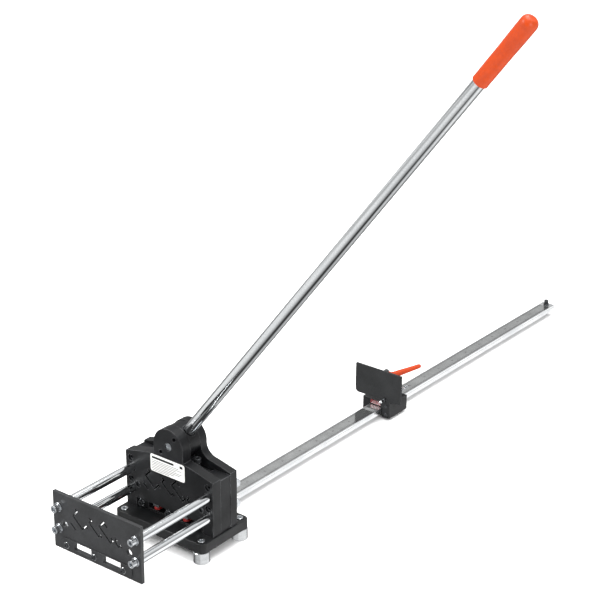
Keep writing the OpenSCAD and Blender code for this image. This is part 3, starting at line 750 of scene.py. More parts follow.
class Workbench:
    """Makes objects of meshes and hands them to the frame."""

    def __init__(self) -> None:
        """Reads which body each node is in and which slot it takes its finish from."""
        record = frame["record"]
        self.slots = {s["node"]: s["material_slot"] for s in record["subparts"]}
        self.bodies = {n: body for body, nodes in record["behaviour"]["bodies"].items() for n in nodes}
        self.trees: dict[str, bpy.types.NodeTree] = {}
        self.dressed: set[str] = set()

    def link(self, name: str, mesh: bpy.types.Mesh) -> bpy.types.Object:
        """Makes an object at the origin.

        Args:
            name: its name.
            mesh: its mesh.

        Returns:
            The object.
        """
        made = bpy.data.objects.new(name, mesh)
        bpy.context.scene.collection.objects.link(made)
        return made

    def hand_over(self, piece: bpy.types.Object, node: str, finish: Optional[Finish] = None,
                  replace: bool = True) -> bpy.types.Object:
        """Gives a finished piece to the frame.

        Args:
            piece: the piece, with its place in its mesh.
            node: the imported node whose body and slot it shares.
            finish: its finish, if its mesh has none yet.
            replace: whether the piece stands for the node.

        Returns:
            The piece.
        """
        if finish:
            piece.data.materials.clear()
            piece.data.materials.append(finish.material())
        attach(piece, self.bodies[node])
        if replace:
            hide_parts(node)
            self.dressed.add(node)
        log.info("%s rides on %s", piece.name, self.bodies[node])
        return piece

    def keep(self, finish: Finish, *nodes: str) -> None:
        """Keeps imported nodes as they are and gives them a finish.

        Args:
            finish: the finish.
            nodes: names of the nodes.
        """
        for node in nodes:
            mesh = frame["nodes"][node].data
            mesh.materials.clear()
            mesh.materials.append(finish.material())
            self.dressed.add(node)

    def baked(self, piece: bpy.types.Object, name: str) -> bpy.types.Object:
        """Turns an object with modifiers into a plain one and removes the first.

        Args:
            piece: the object with modifiers.
            name: name of the plain object.

        Returns:
            The plain object.
        """
        bpy.context.view_layer.update()
        graph = bpy.context.evaluated_depsgraph_get()
        mesh = bpy.data.meshes.new_from_object(piece.evaluated_get(graph), depsgraph=graph)
        mesh.name = name
        bpy.data.objects.remove(piece)
        return self.link(name, mesh)

    def run(self, tree: str, name: str, values: dict[str, Any],
            start: Optional[bpy.types.Mesh] = None) -> bpy.types.Object:
        """Runs one of the node trees and keeps its result as a plain object.

        Args:
            tree: which tree of Trees.
            name: the new piece's name.
            values: value for each named input.
            start: the mesh that the tree starts from, if it needs one.

        Returns:
            The piece.
        """
        if tree not in self.trees:
            self.trees[tree] = getattr(Trees, tree)()
        holder = self.link(name + "_holder", start or bpy.data.meshes.new(name + "_start"))
        modifier = holder.modifiers.new(tree, "NODES")
        modifier.node_group = self.trees[tree]
        for socket in self.trees[tree].interface.items_tree:
            if getattr(socket, "in_out", "") == "INPUT" and socket.name in values:
                modifier[socket.identifier] = values[socket.name]
        return self.baked(holder, name)

    def wound(self, name: str, finish: Finish, turns: float, radius: float, height: float,
              wire_r: float, steps: int, wire_steps: int) -> bpy.types.Mesh:
        """Winds a helix of round wire that stands on height 0.

        Args:
            name: the mesh's name.
            finish: its finish.
            turns: how many turns it has.
            radius: from its axis to the middle of the wire.
            height: how high the middle of the wire climbs.
            wire_r: radius of the wire.
            steps: how many pieces make a turn.
            wire_steps: how many faces go round the wire.

        Returns:
            The mesh.
        """
        coil = self.run("helix", name, {
            "Turns": turns, "Radius": radius * MM, "Height": height * MM, "Wire Radius": wire_r * MM,
            "Steps": steps, "Wire Steps": wire_steps, "Finish": finish.material()})
        mesh = coil.data
        bpy.data.objects.remove(coil)
        return mesh

    def scatter(self, name: str, node: str, finish: Finish, item: bpy.types.Mesh,
                points: Iterable[Vector], facing: Facing = Facing.UP, spin: float = 0.0,
                seed: int = 1, replace: bool = True) -> bpy.types.Object:
        """Puts one item on every point and hands the result over.

        Args:
            name: the new piece's name.
            node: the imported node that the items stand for.
            finish: their finish.
            item: the mesh of one item, standing on its own origin.
            points: where the items go, in millimetres.
            facing: which way their tops point.
            spin: the most that an item is spun about its own axis, in radians.
            seed: seed of the spins.
            replace: whether the piece stands for the node.

        Returns:
            The piece.
        """
        dots = bpy.data.meshes.new(name + "_points")
        dots.from_pydata([tuple(p * MM) for p in points], [], [])
        template = self.link(name + "_item", item)
        piece = self.run("placer", name, {"Item": template, "Turn": facing.value, "Spin": spin,
                                          "Seed": seed, "Finish": finish.material()}, dots)
        bpy.data.objects.remove(template)
        return self.hand_over(piece, node, replace=replace)

    def screws(self, name: str, node: str, finish: Finish, size: CapScrew, facing: Facing,
               spin: float = 1.0, seed: int = 1, steps: int = 72) -> None:
        """Spins socket head screws anew and puts one where each solid of a node is.

        Args:
            name: the new piece's name.
            node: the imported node, one solid for each screw.
            finish: their finish.
            size: sizes of the screw.
            facing: which way the heads point.
            spin: the most that a screw is spun about its own axis, in radians.
            seed: seed of the spins.
            steps: how many faces make a turn.
        """
        found = solids_of(node)
        item = turned(name, size.rings(found[0].length(facing)), steps)
        self.scatter(name, node, finish, item, [s.top(facing, size.head_h) for s in found], facing,
                     spin, seed)

    def nuts(self, name: str, node: str, finish: Finish, flats: float, bore_r: float, facing: Facing,
             spin: float = 1.0, seed: int = 1) -> None:
        """Spins hexagon nuts anew and puts one where each solid of a node is.

        Args:
            name: the new piece's name.
            node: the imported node, one solid for each nut.
            finish: their finish.
            flats: width across flats.
            bore_r: radius of the bore.
            facing: which way the nut's top points.
            spin: the most that a nut is spun about its own axis, in radians.
            seed: seed of the spins.
        """
        found = solids_of(node)
        item = turned(name, hex_nut(flats, found[0].length(facing), bore_r), 72, True)
        self.scatter(name, node, finish, item, [s.foot(facing) for s in found], facing, spin, seed)

    def broken_edges(self, node: str, finish: Finish, bevel: float = 0.4,
                     segments: int = 2) -> bpy.types.Object:
        """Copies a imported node, breaks its sharp edges and evens its shading.

        Args:
            node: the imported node.
            finish: its finish.
            bevel: width of the broken edge in millimetres.
            segments: how many faces round the edge.

        Returns:
            The piece.
        """
        shape = merged_copy(node)
        bmesh.ops.dissolve_limit(shape, angle_limit=math.radians(0.5), verts=shape.verts,
                                 edges=shape.edges, use_dissolve_boundaries=False, delimit=set())
        sharp = [e for e in shape.edges
                 if len(e.link_faces) == 2 and e.calc_face_angle(0) > math.radians(35)]
        bmesh.ops.bevel(shape, geom=sharp, offset=bevel * MM, offset_type="OFFSET",
                        segments=segments, profile=0.5, affect="EDGES", clamp_overlap=False,
                        loop_slide=True)
        bmesh.ops.remove_doubles(shape, verts=shape.verts, dist=0.001 * MM)
        rough_piece = self.link(node + "_cut", smooth(finished(shape, node), 42))
        even = rough_piece.modifiers.new("even", "WEIGHTED_NORMAL")
        even.keep_sharp = True
        even.weight = 80
        return self.hand_over(self.baked(rough_piece, node + "_finished"), node, finish)


# ---------------------------------------------------------------- sub-assemblies


@dataclass
class Base:
    """Base plate on its four turned feet, with the screws that hold them."""

    bench: Workbench
    edge: float = 1.2
    foot_chamfer: float = 1.0
    bore_r: float = 3.4
    bore_depth: float = 7.0
    foot_screw: CapScrew = CapScrew(4, 6.5, 5, 3.0)
    block_bolt: CapScrew = CapScrew(5, 8, 6.5, 4.0)

    def build(self) -> None:
        """Dresses the base plate, the feet and their screws."""
        self.bench.broken_edges("base_plate", LACQUERED, self.edge, 3)
        self._feet()
        self._screws()

    def _feet(self) -> None:
        """Spins the feet, with broken rims and a tapped bore below."""
        feet = solids_of("feet")
        r, height, chamfer = feet[0].size.x / 2, feet[0].size.z, self.foot_chamfer
        rings = [Ring(self.bore_depth, 0), Ring(self.bore_depth - 1, self.bore_r), Ring(0.6, self.bore_r),
                 Ring(0, self.bore_r + 0.6), Ring(0, r - chamfer), Ring(chamfer, r),
                 Ring(height - 0.8, r), Ring(height, r - 0.8), Ring(height, 0)]
        self.bench.scatter("feet_turned", "feet", TURNED, turned("foot", rings, 72),
                           [f.foot(Facing.UP) for f in feet])

    def _screws(self) -> None:
        """Spins the screws of the feet and the bolts that hold the block from below."""
        self.bench.screws("foot_screws_zinc", "foot_screws", ZINC, self.foot_screw, Facing.UP, seed=3)
        self.bench.screws("block_bolts_black", "block_bolts", DARK_SCREW, self.block_bolt, Facing.DOWN,
                          seed=5)


@dataclass
class Block:
    """The three layers of the cutter block, what clamps them, the pivot and the label."""

    bench: Workbench
    edge: float = 0.55
    clamp_screw: CapScrew = CapScrew(4, 5.5, 8, 3.0)
    clip_groove: float = 1.5
    label_border: float = 1.3
    label_round: float = 5.0
    margin: float = 4.5
    row_pitch: float = 3.0
    row_h: float = 1.2
    # lengths of the label's fine bars, as shares of its width between the margins
    row_shares: tuple[float, ...] = (0.86, 0.95, 0.78, 0.97, 0.9, 0.72, 0.55)

    def build(self) -> None:
        """Dresses the plates, the pins and screws through them, and the label."""
        for node in ("front_die_plate", "rear_die_plate", "spacer_left", "spacer_right"):
            self.bench.broken_edges(node, BLACKENED, self.edge)
        self.bench.keep(GROUND, "dowel_pins")
        self.bench.screws("clamp_screws_black", "clamp_screws", DARK_SCREW, self.clamp_screw,
                          Facing.FRONT, seed=7)
        self._pivot()
        self._label()

    def _pivot(self) -> None:
        """Spins the pivot pin with its centre mark and clip groove, and the clip."""
        pin, clip = solids_of("pivot_pin")[0], solids_of("pivot_clips")[0]
        r, length = pin.size.x / 2, pin.size.y
        start = clip.low.y - pin.low.y - 0.1
        end = start + self.clip_groove
        rings = [Ring(1.6, 0), Ring(0, 1.6), Ring(0, r - 0.8), Ring(0.8, r), Ring(start, r),
                 Ring(start, r - 1), Ring(end, r - 1), Ring(end, r),
                 Ring(length - 0.8, r), Ring(length, r - 0.8), Ring(length, 0)]
        self.bench.scatter("pivot_pin_ground", "pivot_pin", GROUND, turned("pivot_pin", rings, 64),
                           [pin.foot(Facing.BACK)], Facing.BACK)
        ring = turned("clip", washer(clip.size.x / 2, r - 0.95, clip.size.y, 0.2), 64, True)
        self.bench.scatter("pivot_clip_sprung", "pivot_clips", DARK_SCREW, ring,
                           [clip.foot(Facing.BACK)], Facing.BACK)

    def _label(self) -> None:
        """Builds the label: black border, white film, and plain bars where print would be."""
        plate = solids_of("rating_label")[0]
        middle, size = plate.centre, plate.size
        film = self._rounded("label_border", size.x, size.z, self.label_round, size.y, middle)
        self.bench.hand_over(film, "rating_label", LABEL_INK)
        face = Vector((middle.x, plate.low.y - 0.05, middle.z))
        white = self._rounded("label_film", size.x - 2 * self.label_border,
                              size.z - 2 * self.label_border, self.label_round - self.label_border,
                              0.1, face)
        self.bench.hand_over(white, "rating_label", LABEL_FILM, replace=False)
        self._print(plate)

    def _print(self, plate: Solid) -> None:
        """Lays two heavy bars and seven fine ones on the label, as a neutral layout.

        Args:
            plate: the label's solid.
        """
        left, top, width = plate.low.x + self.margin, plate.high.z - 5.0, plate.size.x
        heavy = [(left, top, width * 0.62, 4.2), (plate.high.x - 12.0, top + 0.4, 6.5, 5.0)]
        fine = [(left, top - 6.8 - self.row_pitch * row, (width - 2 * self.margin) * share, self.row_h)
                for row, share in enumerate(self.row_shares)]
        for name, bars, finish in (("label_heavy_bars", heavy, LABEL_INK),
                                   ("label_fine_bars", fine, LABEL_GREY)):
            shape = bmesh.new()
            for x, z, long, high in bars:
                place = Matrix.Translation(Vector((x + long / 2, plate.low.y - 0.11, z - high / 2)) * MM)
                size = Matrix.Diagonal((long * MM, 0.04 * MM, high * MM, 1))
                bmesh.ops.create_cube(shape, size=1.0, matrix=place @ size)
            self.bench.hand_over(self.bench.link(name, finished(shape, name)), "rating_label", finish,
                                 replace=False)

    def _rounded(self, name: str, width: float, height: float, r: float, thick: float,
                 middle: Vector) -> bpy.types.Object:
        """Cuts a plate with round corners that faces the front.

        Args:
            name: its name.
            width: its width.
            height: its height.
            r: radius of its corners.
            thick: its thickness.
            middle: its middle.

        Returns:
            The plate.
        """
        shape = bmesh.new()
        outline = []
        for quarter, (sx, sz) in enumerate(((1, 1), (-1, 1), (-1, -1), (1, -1))):
            for step in range(9):
                angle = math.radians(90 * quarter + 90 * step / 8)
                outline.append(Vector((sx * (width / 2 - r) + r * math.cos(angle), 0,
                                       sz * (height / 2 - r) + r * math.sin(angle))))
        for side in (-1, 1):
            shift = Vector((0, side * thick / 2, 0))
            shape.faces.new([shape.verts.new((middle + p + shift) * MM) for p in outline])
        edges = list(shape.edges)
        bmesh.ops.bridge_loops(shape, edges=edges)
        bmesh.ops.recalc_face_normals(shape, faces=shape.faces)
        return self.bench.link(name, finished(shape, name))


@dataclass
class RailGuide:
    """Guide rods with their fasteners, and the guide plate with its strip."""

    bench: Workbench
    rod_chamfer: float = 0.8
    spigot_r: float = 6.0
    thread_pitch: float = 1.75
    thread_len: float = 15.0
    rod_screw: CapScrew = CapScrew(4, 6.7, 8, 3.3)
    strip_screw: CapScrew = CapScrew(2.5, 4.6, 2.8, 2.0)

    def build(self) -> None:
        """Dresses the rods, the guide plate and everything screwed to them."""
        self._rods()
        self._rod_fasteners()
        self.bench.broken_edges("guide_plate", BLACK_SHEET, 0.35)
        self.bench.broken_edges("guide_strip", BLACK_SHEET, 0.3)
        self._strip_fasteners()

    def _rods(self) -> None:
        """Spins the chromed rods and winds a thread on the end of each spigot."""
        rods = solids_of("guide_rods")
        r, length, spigot = rods[0].size.x / 2, rods[0].size.y, self.spigot_r
        shoulder = length - (rods[0].high.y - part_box("front_die_plate")[0].y / MM) + 4
        edge = self.rod_chamfer
        rings = [Ring(20, 0), Ring(20, 4.05), Ring(0.5, 4.05), Ring(0, 4.5), Ring(0, r - edge),
                 Ring(edge, r), Ring(shoulder - 0.3, r), Ring(shoulder, r - 0.3),
                 Ring(shoulder, spigot), Ring(length - 17, spigot), Ring(length - 16.5, spigot - 0.7),
                 Ring(length - 1.2, spigot - 0.7), Ring(length, spigot - 1.6), Ring(length, 0)]
        self.bench.scatter("guide_rods_chromed", "guide_rods", CHROMED, turned("rod", rings, 64),
                           [s.foot(Facing.BACK) for s in rods], Facing.BACK)
        item = self.bench.wound("rod_thread_item", CHROMED, self.thread_len / self.thread_pitch,
                                spigot - 0.72, self.thread_len, 0.6, 32, 6)
        ends = [s.top(Facing.BACK, self.thread_len + 1.2) for s in rods]
        self.bench.scatter("rod_threads", "guide_rods", CHROMED, item, ends, Facing.BACK,
                           replace=False)

    def _rod_fasteners(self) -> None:
        """Spins the nuts, washers and screws at both ends of the rods."""
        nut = solids_of("rod_nuts")[0]
        self.bench.nuts("rod_nuts_zinc", "rod_nuts", ZINC, min(nut.size.x, nut.size.z), 5.9,
                        Facing.BACK, seed=11)
        washers = solids_of("rod_washers")
        front = [s for s in washers if s.centre.y < 0]
        rear = [s for s in washers if s.centre.y > 0]
        item = turned("rear_washer", washer(12, 6.05, 2, 0.4), 64, True)
        self.bench.scatter("rod_washers_rear", "rod_washers", ZINC, item,
                           [s.foot(Facing.BACK) for s in rear], Facing.BACK)
        back = max(s.high.y for s in front)
        spots = sorted({(round(s.centre.x, 2), round(s.centre.z, 2)) for s in front})
        for name, rings, shift in (("rod_washers_front", washer(8, 4.05, 1.78, 0.35), 0.0),
                                   ("rod_lock_washers", washer(7, 4.05, 1.95, 0.15), 1.8)):
            item = turned(name, rings, 64, True)
            self.bench.scatter(name, "rod_washers", ZINC, item,
                               [Vector((x, back - shift, z)) for x, z in spots], Facing.FRONT,
                               replace=False)
        self.bench.screws("rod_screws_zinc", "rod_screws", ZINC, self.rod_screw, Facing.FRONT, seed=13)

    def _strip_fasteners(self) -> None:
        """Spins the small screws of the guide strip, with their washers and nuts."""
        size = self.strip_screw
        screws = solids_of("guide_strip_screws")
        seat = screws[0].low.y + size.head_h
        spots = [Vector((s.centre.x, seat, s.centre.z)) for s in screws]
        item = turned("strip_screw", size.rings(screws[0].size.y), 72)
        self.bench.scatter("guide_strip_screws_dark", "guide_strip_screws", DARK_SCREW, item, spots,
                           Facing.FRONT, 1.0, 17)
        item = turned("strip_washer", washer(5.8, 2.55, 0.98, 0.2), 48, True)
        self.bench.scatter("guide_strip_washers", "guide_strip_screws", TURNED, item,
                           [p + Vector((0, 0.99, 0)) for p in spots], Facing.FRONT, replace=False)
        self.bench.nuts("guide_strip_nuts_zinc", "guide_strip_nuts", ZINC, 8, 2.5, Facing.BACK, seed=19)


@dataclass
class PunchStation:
    """Comb guide, dies and die bar at the foot of the block."""

    bench: Workbench
    comb_screw: CapScrew = CapScrew(3, 5, 4, 2.5)

    def build(self) -> None:
        """Dresses the punching station."""
        self.bench.broken_edges("punch_guide", BLACKENED, 0.4)
        self.bench.broken_edges("punch_die_bar", GROUND, 0.2)
        self.bench.keep(GROUND, "punch_dies")
        self.bench.screws("punch_guide_screws_dark", "punch_guide_screws", DARK_SCREW, self.comb_screw,
                          Facing.FRONT, seed=23)
        washers = solids_of("punch_guide_washers")
        item = turned("comb_washer", washer(6.2, 3.05, washers[0].size.y, 0.25), 48, True)
        self.bench.scatter("punch_guide_washers_zinc", "punch_guide_washers", ZINC, item,
                           [s.foot(Facing.FRONT) for s in washers], Facing.FRONT)


@dataclass
class Lever:
    """Hub, bush, tube and grip that swing about the pivot."""

    bench: Workbench
    wall: float = 3.0
    tube_start: float = 11.5
    reach: float = 1018.0
    grip_len: float = 124.0
    grip_roll: float = 4.2
    tip_r: float = 9.0

    def __post_init__(self) -> None:
        """Works out the tube's line from the pivot pin and the grip."""
        pin = solids_of("pivot_pin")[0]
        hub = solids_of("lever_hub")[0]
        self.pivot = Vector((pin.centre.x, hub.centre.y, pin.centre.z))
        tube = solids_of("lever_tube")[0]
        self.tube_r = tube.size.y / 2
        span = Vector((tube.size.x, 0, tube.size.z))
        # a slanted cylinder's box is its axis plus its diameter seen from each side
        angle = math.atan2(span.z, span.x)
        for _ in range(20):
            rise = span.z - 2 * self.tube_r * math.cos(angle)
            run = span.x - 2 * self.tube_r * math.sin(angle)
            angle = math.atan2(rise, run)
        self.angle, self.tube_len = angle, math.hypot(rise, run)
        self.axis = Vector((math.cos(angle), 0, math.sin(angle)))
        log.info("lever leans %.1f degrees, tube %.0f mm", math.degrees(angle), self.tube_len)

    def _along(self, distance: float) -> Matrix:
        """Stands a turned shape's Z on the tube's line.

        Args:
            distance: how far from the pivot the shape's foot is.

        Returns:
            The matrix that puts it there.
        """
        turn = UP.rotation_difference(self.axis).to_matrix().to_4x4()
        return Matrix.Translation(self.pivot + self.axis * distance) @ turn

    def build(self) -> None:
        """Dresses the lever."""
        self.bench.broken_edges("lever_hub", BLACKENED, 0.5)
        self.bench.keep(BRONZE, "hub_bush")
        self.bench.keep(GROUND, "lever_cross_pins")
        self._tube()
        self._grip()

    def _tube(self) -> None:
        """Spins the tube: solid where it is pinned, hollow beyond, with a broken end."""
        r, length = self.tube_r, self.tube_len
        rings = [Ring(0, 0), Ring(0, r - 0.8), Ring(0.8, r), Ring(length - 0.5, r),
                 Ring(length, r - 0.5), Ring(length, r - self.wall), Ring(20, r - self.wall), Ring(20, 0)]
        mesh = turned("lever_tube", rings, 96, place=self._along(self.tube_start))
        self.bench.hand_over(self.bench.link("lever_tube_chromed", mesh), "lever_tube", POLISHED)

    def _grip(self) -> None:
        """Spins the dipped grip: rolled foot, slight swell, round tip and a blind bore."""
        box = solids_of("lever_grip")[0]
        end_r, foot_r, bore = box.size.y / 2, box.size.y / 2 - 1.0, self.tube_r + 0.01
        length, roll, steps, tip_r = self.grip_len, self.grip_roll, 12, self.tip_r
        rings = [Ring(length - 12, 0), Ring(length - 12, bore), Ring(0.4, bore), Ring(0, bore + 0.4)]
        rings += [Ring(0.3, foot_r - 0.9), Ring(1.0, foot_r + 0.1), Ring(2.4, foot_r + 0.25),
                  Ring(roll, foot_r)]
        for step in range(1, steps + 1):
            share = step / steps
            swell = 0.12 * math.sin(share * math.pi * 3) - 0.1
            rings.append(Ring(roll + (length - roll - tip_r - 2.0) * share,
                              foot_r + (end_r - foot_r) * share + swell))
        for step in range(1, steps + 1):
            angle = math.radians(90 * step / steps)
            rings.append(Ring(length - tip_r - 0.5 + (tip_r + 0.5) * math.sin(angle),
                              end_r - 0.1 - tip_r + tip_r * math.cos(angle)))
        rings.append(Ring(length, 0))
        mesh = turned("lever_grip", rings, 96, place=self._along(self.reach - length))
        mesh.shade_smooth()
        self.bench.hand_over(self.bench.link("lever_grip_dipped", mesh), "lever_grip", DIPPED)


@dataclass
class Blade:
    """Cutting blade with its pad, screws, punches, strippers and springs."""

    bench: Workbench
    travel: float = 5.02
    wire_r: float = 0.5
    blade_screw: CapScrew = CapScrew(4, 6.5, 8, 3.0)

    def build(self) -> None:
        """Dresses what slides inside the block."""
        for node in ("cutting_blade", "blade_pad", "punch_holder"):
            self.bench.broken_edges(node, GROUND, 0.3)
        self.bench.keep(GROUND, "punches")
        self.bench.screws("blade_screws_black", "blade_screws", DARK_SCREW, self.blade_screw, Facing.UP,
                          seed=29)
        self.bench.nuts("blade_nuts_zinc", "blade_nuts", ZINC, 13, 4.0, Facing.UP, seed=31)
        self.bench.broken_edges("strippers", URETHANE, 0.5, 3)
        self._springs()

    def _springs(self) -> None:
        """Winds the return springs of round wire, with closed ends."""
        coils = solids_of("return_springs")
        wire, height = self.wire_r, coils[0].size.z
        item = self.bench.wound("spring_item", GROUND, 9.0, coils[0].size.x / 2 - wire,
                                height - 2 * wire, wire, 28, 10)
        wound = self.bench.scatter("return_springs_wound", "return_springs", GROUND, item,
                                   [Vector((s.centre.x, s.centre.y, s.low.z + wire)) for s in coils])
        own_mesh(wound)


@dataclass
class MeasuringRail:
    """Rail with its scale, and the screws that hold and level it."""

    bench: Workbench
    chamfer: float = 0.6
    bead: float = 0.25
    mark_w: float = 0.28
    figure_h: float = 5.2
    support_size: CapScrew = CapScrew(3, 4.8, 5, 2.2)
    holder_size: CapScrew = CapScrew(3, 5, 5.5, 2.5)

    def build(self) -> None:
        """Dresses the rail, lays its scale and spins its screws."""
        self._rail()
        self.bench.keep(ETCHED, "scale_strip")
        self._scale()
        self.bench.screws("support_screw_black", "support_screw", DARK_SCREW, self.support_size,
                          Facing.UP, spin=0.0)
        self.bench.nuts("support_nut_black", "support_nut", DARK_SCREW, 10, 3.0, Facing.UP, spin=0.4)
        self.bench.screws("rail_screws_zinc", "rail_screws", ZINC, self.holder_size, Facing.DOWN, seed=37)

    def _rail(self) -> None:
        """Breaks the rail's corners and adds its drawn beads."""
        self.bench.broken_edges("measuring_rail", DRAWN, 0.35)
        self._bead("rail_bead_left", -1)
        self._bead("rail_bead_right", 1)

    def _bead(self, name: str, side: int) -> None:
        """Draws the bright bead that runs along one side, just under the top face.

        Args:
            name: the bead's name.
            side: -1 for left, 1 for right.
        """
        rail = solids_of("measuring_rail")[0]
        start, end = solids_of("scale_strip")[0].low.y - 6, rail.high.y - self.chamfer
        face, top = rail.centre.x + side * rail.size.x / 2, rail.high.z
        proud = face + side * self.bead
        profile = [(face, top - 3.2), (proud, top - 3.6), (proud, top - 5.0), (face, top - 5.4)]
        shape = bmesh.new()
        rows = [[shape.verts.new(Vector((x, y, z)) * MM) for x, z in profile] for y in (start, end)]
        for k in range(len(profile)):
            n = (k + 1) % len(profile)
            shape.faces.new((rows[0][k], rows[0][n], rows[1][n], rows[1][k]))
        shape.faces.new(rows[0])
        shape.faces.new(rows[1])
        bmesh.ops.recalc_face_normals(shape, faces=shape.faces)
        self.bench.hand_over(self.bench.link(name, finished(shape, name)), "measuring_rail", DRAWN,
                             replace=False)

    def _scale(self) -> None:
        """Lays millimetre marks along both edges of the scale, and its numbers."""
        strip = solids_of("scale_strip")[0]
        marks = int(strip.size.y) - 4
        for name, side, x in (("scale_marks_left", 1, strip.low.x + 0.6),
                              ("scale_marks_right", -1, strip.high.x - 0.6)):
            start = Vector((x, strip.low.y + 2, strip.high.z + 0.01)) * MM
            piece = self.bench.run("ruler", name, {
                "Marks": marks, "Step": MM, "Start": tuple(start), "Width": self.mark_w * MM,
                "Thickness": 0.05 * MM, "Short": side * 3.2 * MM, "Medium": side * 4.8 * MM,
                "Long": side * 6.6 * MM, "Finish": MARKS.material()})
            self.bench.hand_over(piece, "scale_strip", replace=False)
        self._numbers(strip)

    def _numbers(self, strip: Solid) -> None:
        """Writes every fifth centimetre along the middle of the scale.

        Args:
            strip: the scale's solid.
        """
        shape = bmesh.new()
        for centimetres in range(10, int(strip.size.y / 10), 5):
            curve = bpy.data.curves.new("figure", "FONT")
            curve.body, curve.size, curve.extrude = str(centimetres), self.figure_h * MM, 0.02 * MM
            curve.align_x, curve.align_y = "CENTER", "CENTER"
            curve.resolution_u = 3
            holder = bpy.data.objects.new("figure", curve)
            bpy.context.scene.collection.objects.link(holder)
            bpy.context.view_layer.update()
            graph = bpy.context.evaluated_depsgraph_get()
            mesh = bpy.data.meshes.new_from_object(holder.evaluated_get(graph))
            spot = Vector((strip.centre.x, strip.low.y + 2 + centimetres * 10 - 50, strip.high.z + 0.02))
            mesh.transform(Matrix.Translation(spot * MM) @ Matrix.Rotation(math.pi / 2, 4, "Z"))
            shape.from_mesh(mesh)
            bpy.data.objects.remove(holder)
        bmesh.ops.remove_doubles(shape, verts=shape.verts, dist=0.001 * MM)
        piece = self.bench.link("scale_figures", finished(shape, "scale_figures"))
        self.bench.hand_over(piece, "scale_strip", MARKS, replace=False)


@dataclass
class LengthStop:
    """Stop that slides on the rail, its clamp lever and its adjusting spindle."""

    bench: Workbench
    blend_size: float = 0.5
    neck_r: float = 1.5
    neck_len: float = 9.0
    thread_start: float = 21.0
    plate_screw: CapScrew = CapScrew(2, 3.6, 1.6, 1.3)

    def build(self) -> None:
        """Dresses the stop."""
        self.bench.broken_edges("stop_block", BLACKENED, 0.7, 3)
        self.bench.broken_edges("stop_plate", MATT_BLACK, 0.5)
        self.bench.broken_edges("rail_pointer", RED_WINDOW, 0.3)
        self.bench.broken_edges("clamp_column", BLACKENED, 0.4)
        self.bench.keep(BRONZE, "clamp_shoe")
        self.bench.keep(ZINC, "clamp_stud")
        self.bench.screws("stop_plate_screws_black", "stop_plate_screws", DARK_SCREW, self.plate_screw,
                          Facing.FRONT, seed=41, steps=48)
        self._clamp()
        self._spindle()

    def _clamp(self) -> None:
        """Blends the clamp lever's arm into its hub as one moulding, and spins its cap."""
        mesh = finished(merged_copy("clamp_handle"), "clamp_handle")
        rough_piece = self.bench.link("clamp_handle_raw", mesh)
        remesh = rough_piece.modifiers.new("skin", "REMESH")
        remesh.mode, remesh.voxel_size = "VOXEL", self.blend_size * MM
        even = rough_piece.modifiers.new("blend", "SMOOTH")
        even.factor, even.iterations = 0.5, 16
        piece = self.bench.baked(rough_piece, "clamp_lever_moulded")
        piece.data.shade_smooth()
        self.bench.hand_over(piece, "clamp_handle", MOULDED)
        cap = solids_of("clamp_cap")[0]
        r, height = cap.size.x / 2, cap.size.z
        rings = [Ring(0, 0), Ring(0, r), Ring(height * 0.6, r)]
        rings += [Ring(height * (0.6 + 0.4 * math.sin(a)), r * (0.55 + 0.45 * math.cos(a)))
                  for a in (math.radians(15 * k) for k in range(1, 7))]
        rings.append(Ring(height, 0))
        self.bench.scatter("clamp_cap_domed", "clamp_cap", BLACK_CAP, turned("clamp_cap", rings, 48),
                           [cap.foot(Facing.UP)])

    def _spindle(self) -> None:
        """Spins the spindle and its ball, and winds its thread."""
        rod = solids_of("stop_spindle")[0]
        r, length = rod.size.x / 2, rod.size.y
        core, neck, shoulder = r - 0.25, self.neck_r, self.neck_len
        rings = [Ring(0, 0), Ring(0, neck), Ring(shoulder, neck), Ring(shoulder, r - 0.4),
                 Ring(shoulder + 0.4, r), Ring(self.thread_start - 1, r),
                 Ring(self.thread_start - 0.7, core), Ring(length - 0.8, core), Ring(length, core - 0.6),
                 Ring(length, 0)]
        front = rod.foot(Facing.BACK)
        self.bench.scatter("stop_spindle_turned", "stop_spindle", DARK_SCREW,
                           turned("spindle", rings, 48), [front], Facing.BACK)
        thread = length - self.thread_start - 1
        item = self.bench.wound("spindle_thread_item", ZINC, thread, core - 0.05, thread, 0.32, 24, 6)
        self.bench.scatter("spindle_thread", "stop_spindle", ZINC, item,
                           [front + Vector((0, self.thread_start, 0))], Facing.BACK, replace=False)
        ball = solids_of("spindle_knob")[0]
        ball_r = ball.size.x / 2
        rings = [Ring(-ball_r, 0)]
        rings += [Ring(-ball_r * math.cos(a), ball_r * math.sin(a))
                  for a in (math.radians(180 * k / 18) for k in range(1, 18))]
        rings.append(Ring(ball_r, 0))
        mesh = turned("ball", rings, 48)
        middle = Vector((ball.centre.x, ball.low.y + ball_r, ball.centre.z))
        self.bench.scatter("spindle_ball", "spindle_knob", POLISHED, mesh, [middle], Facing.BACK)
        self.bench.nuts("spindle_nut_black", "spindle_nut", DARK_SCREW, 10, 3.0, Facing.BACK, 0.6, 43)


# ---------------------------------------------------------------- studio


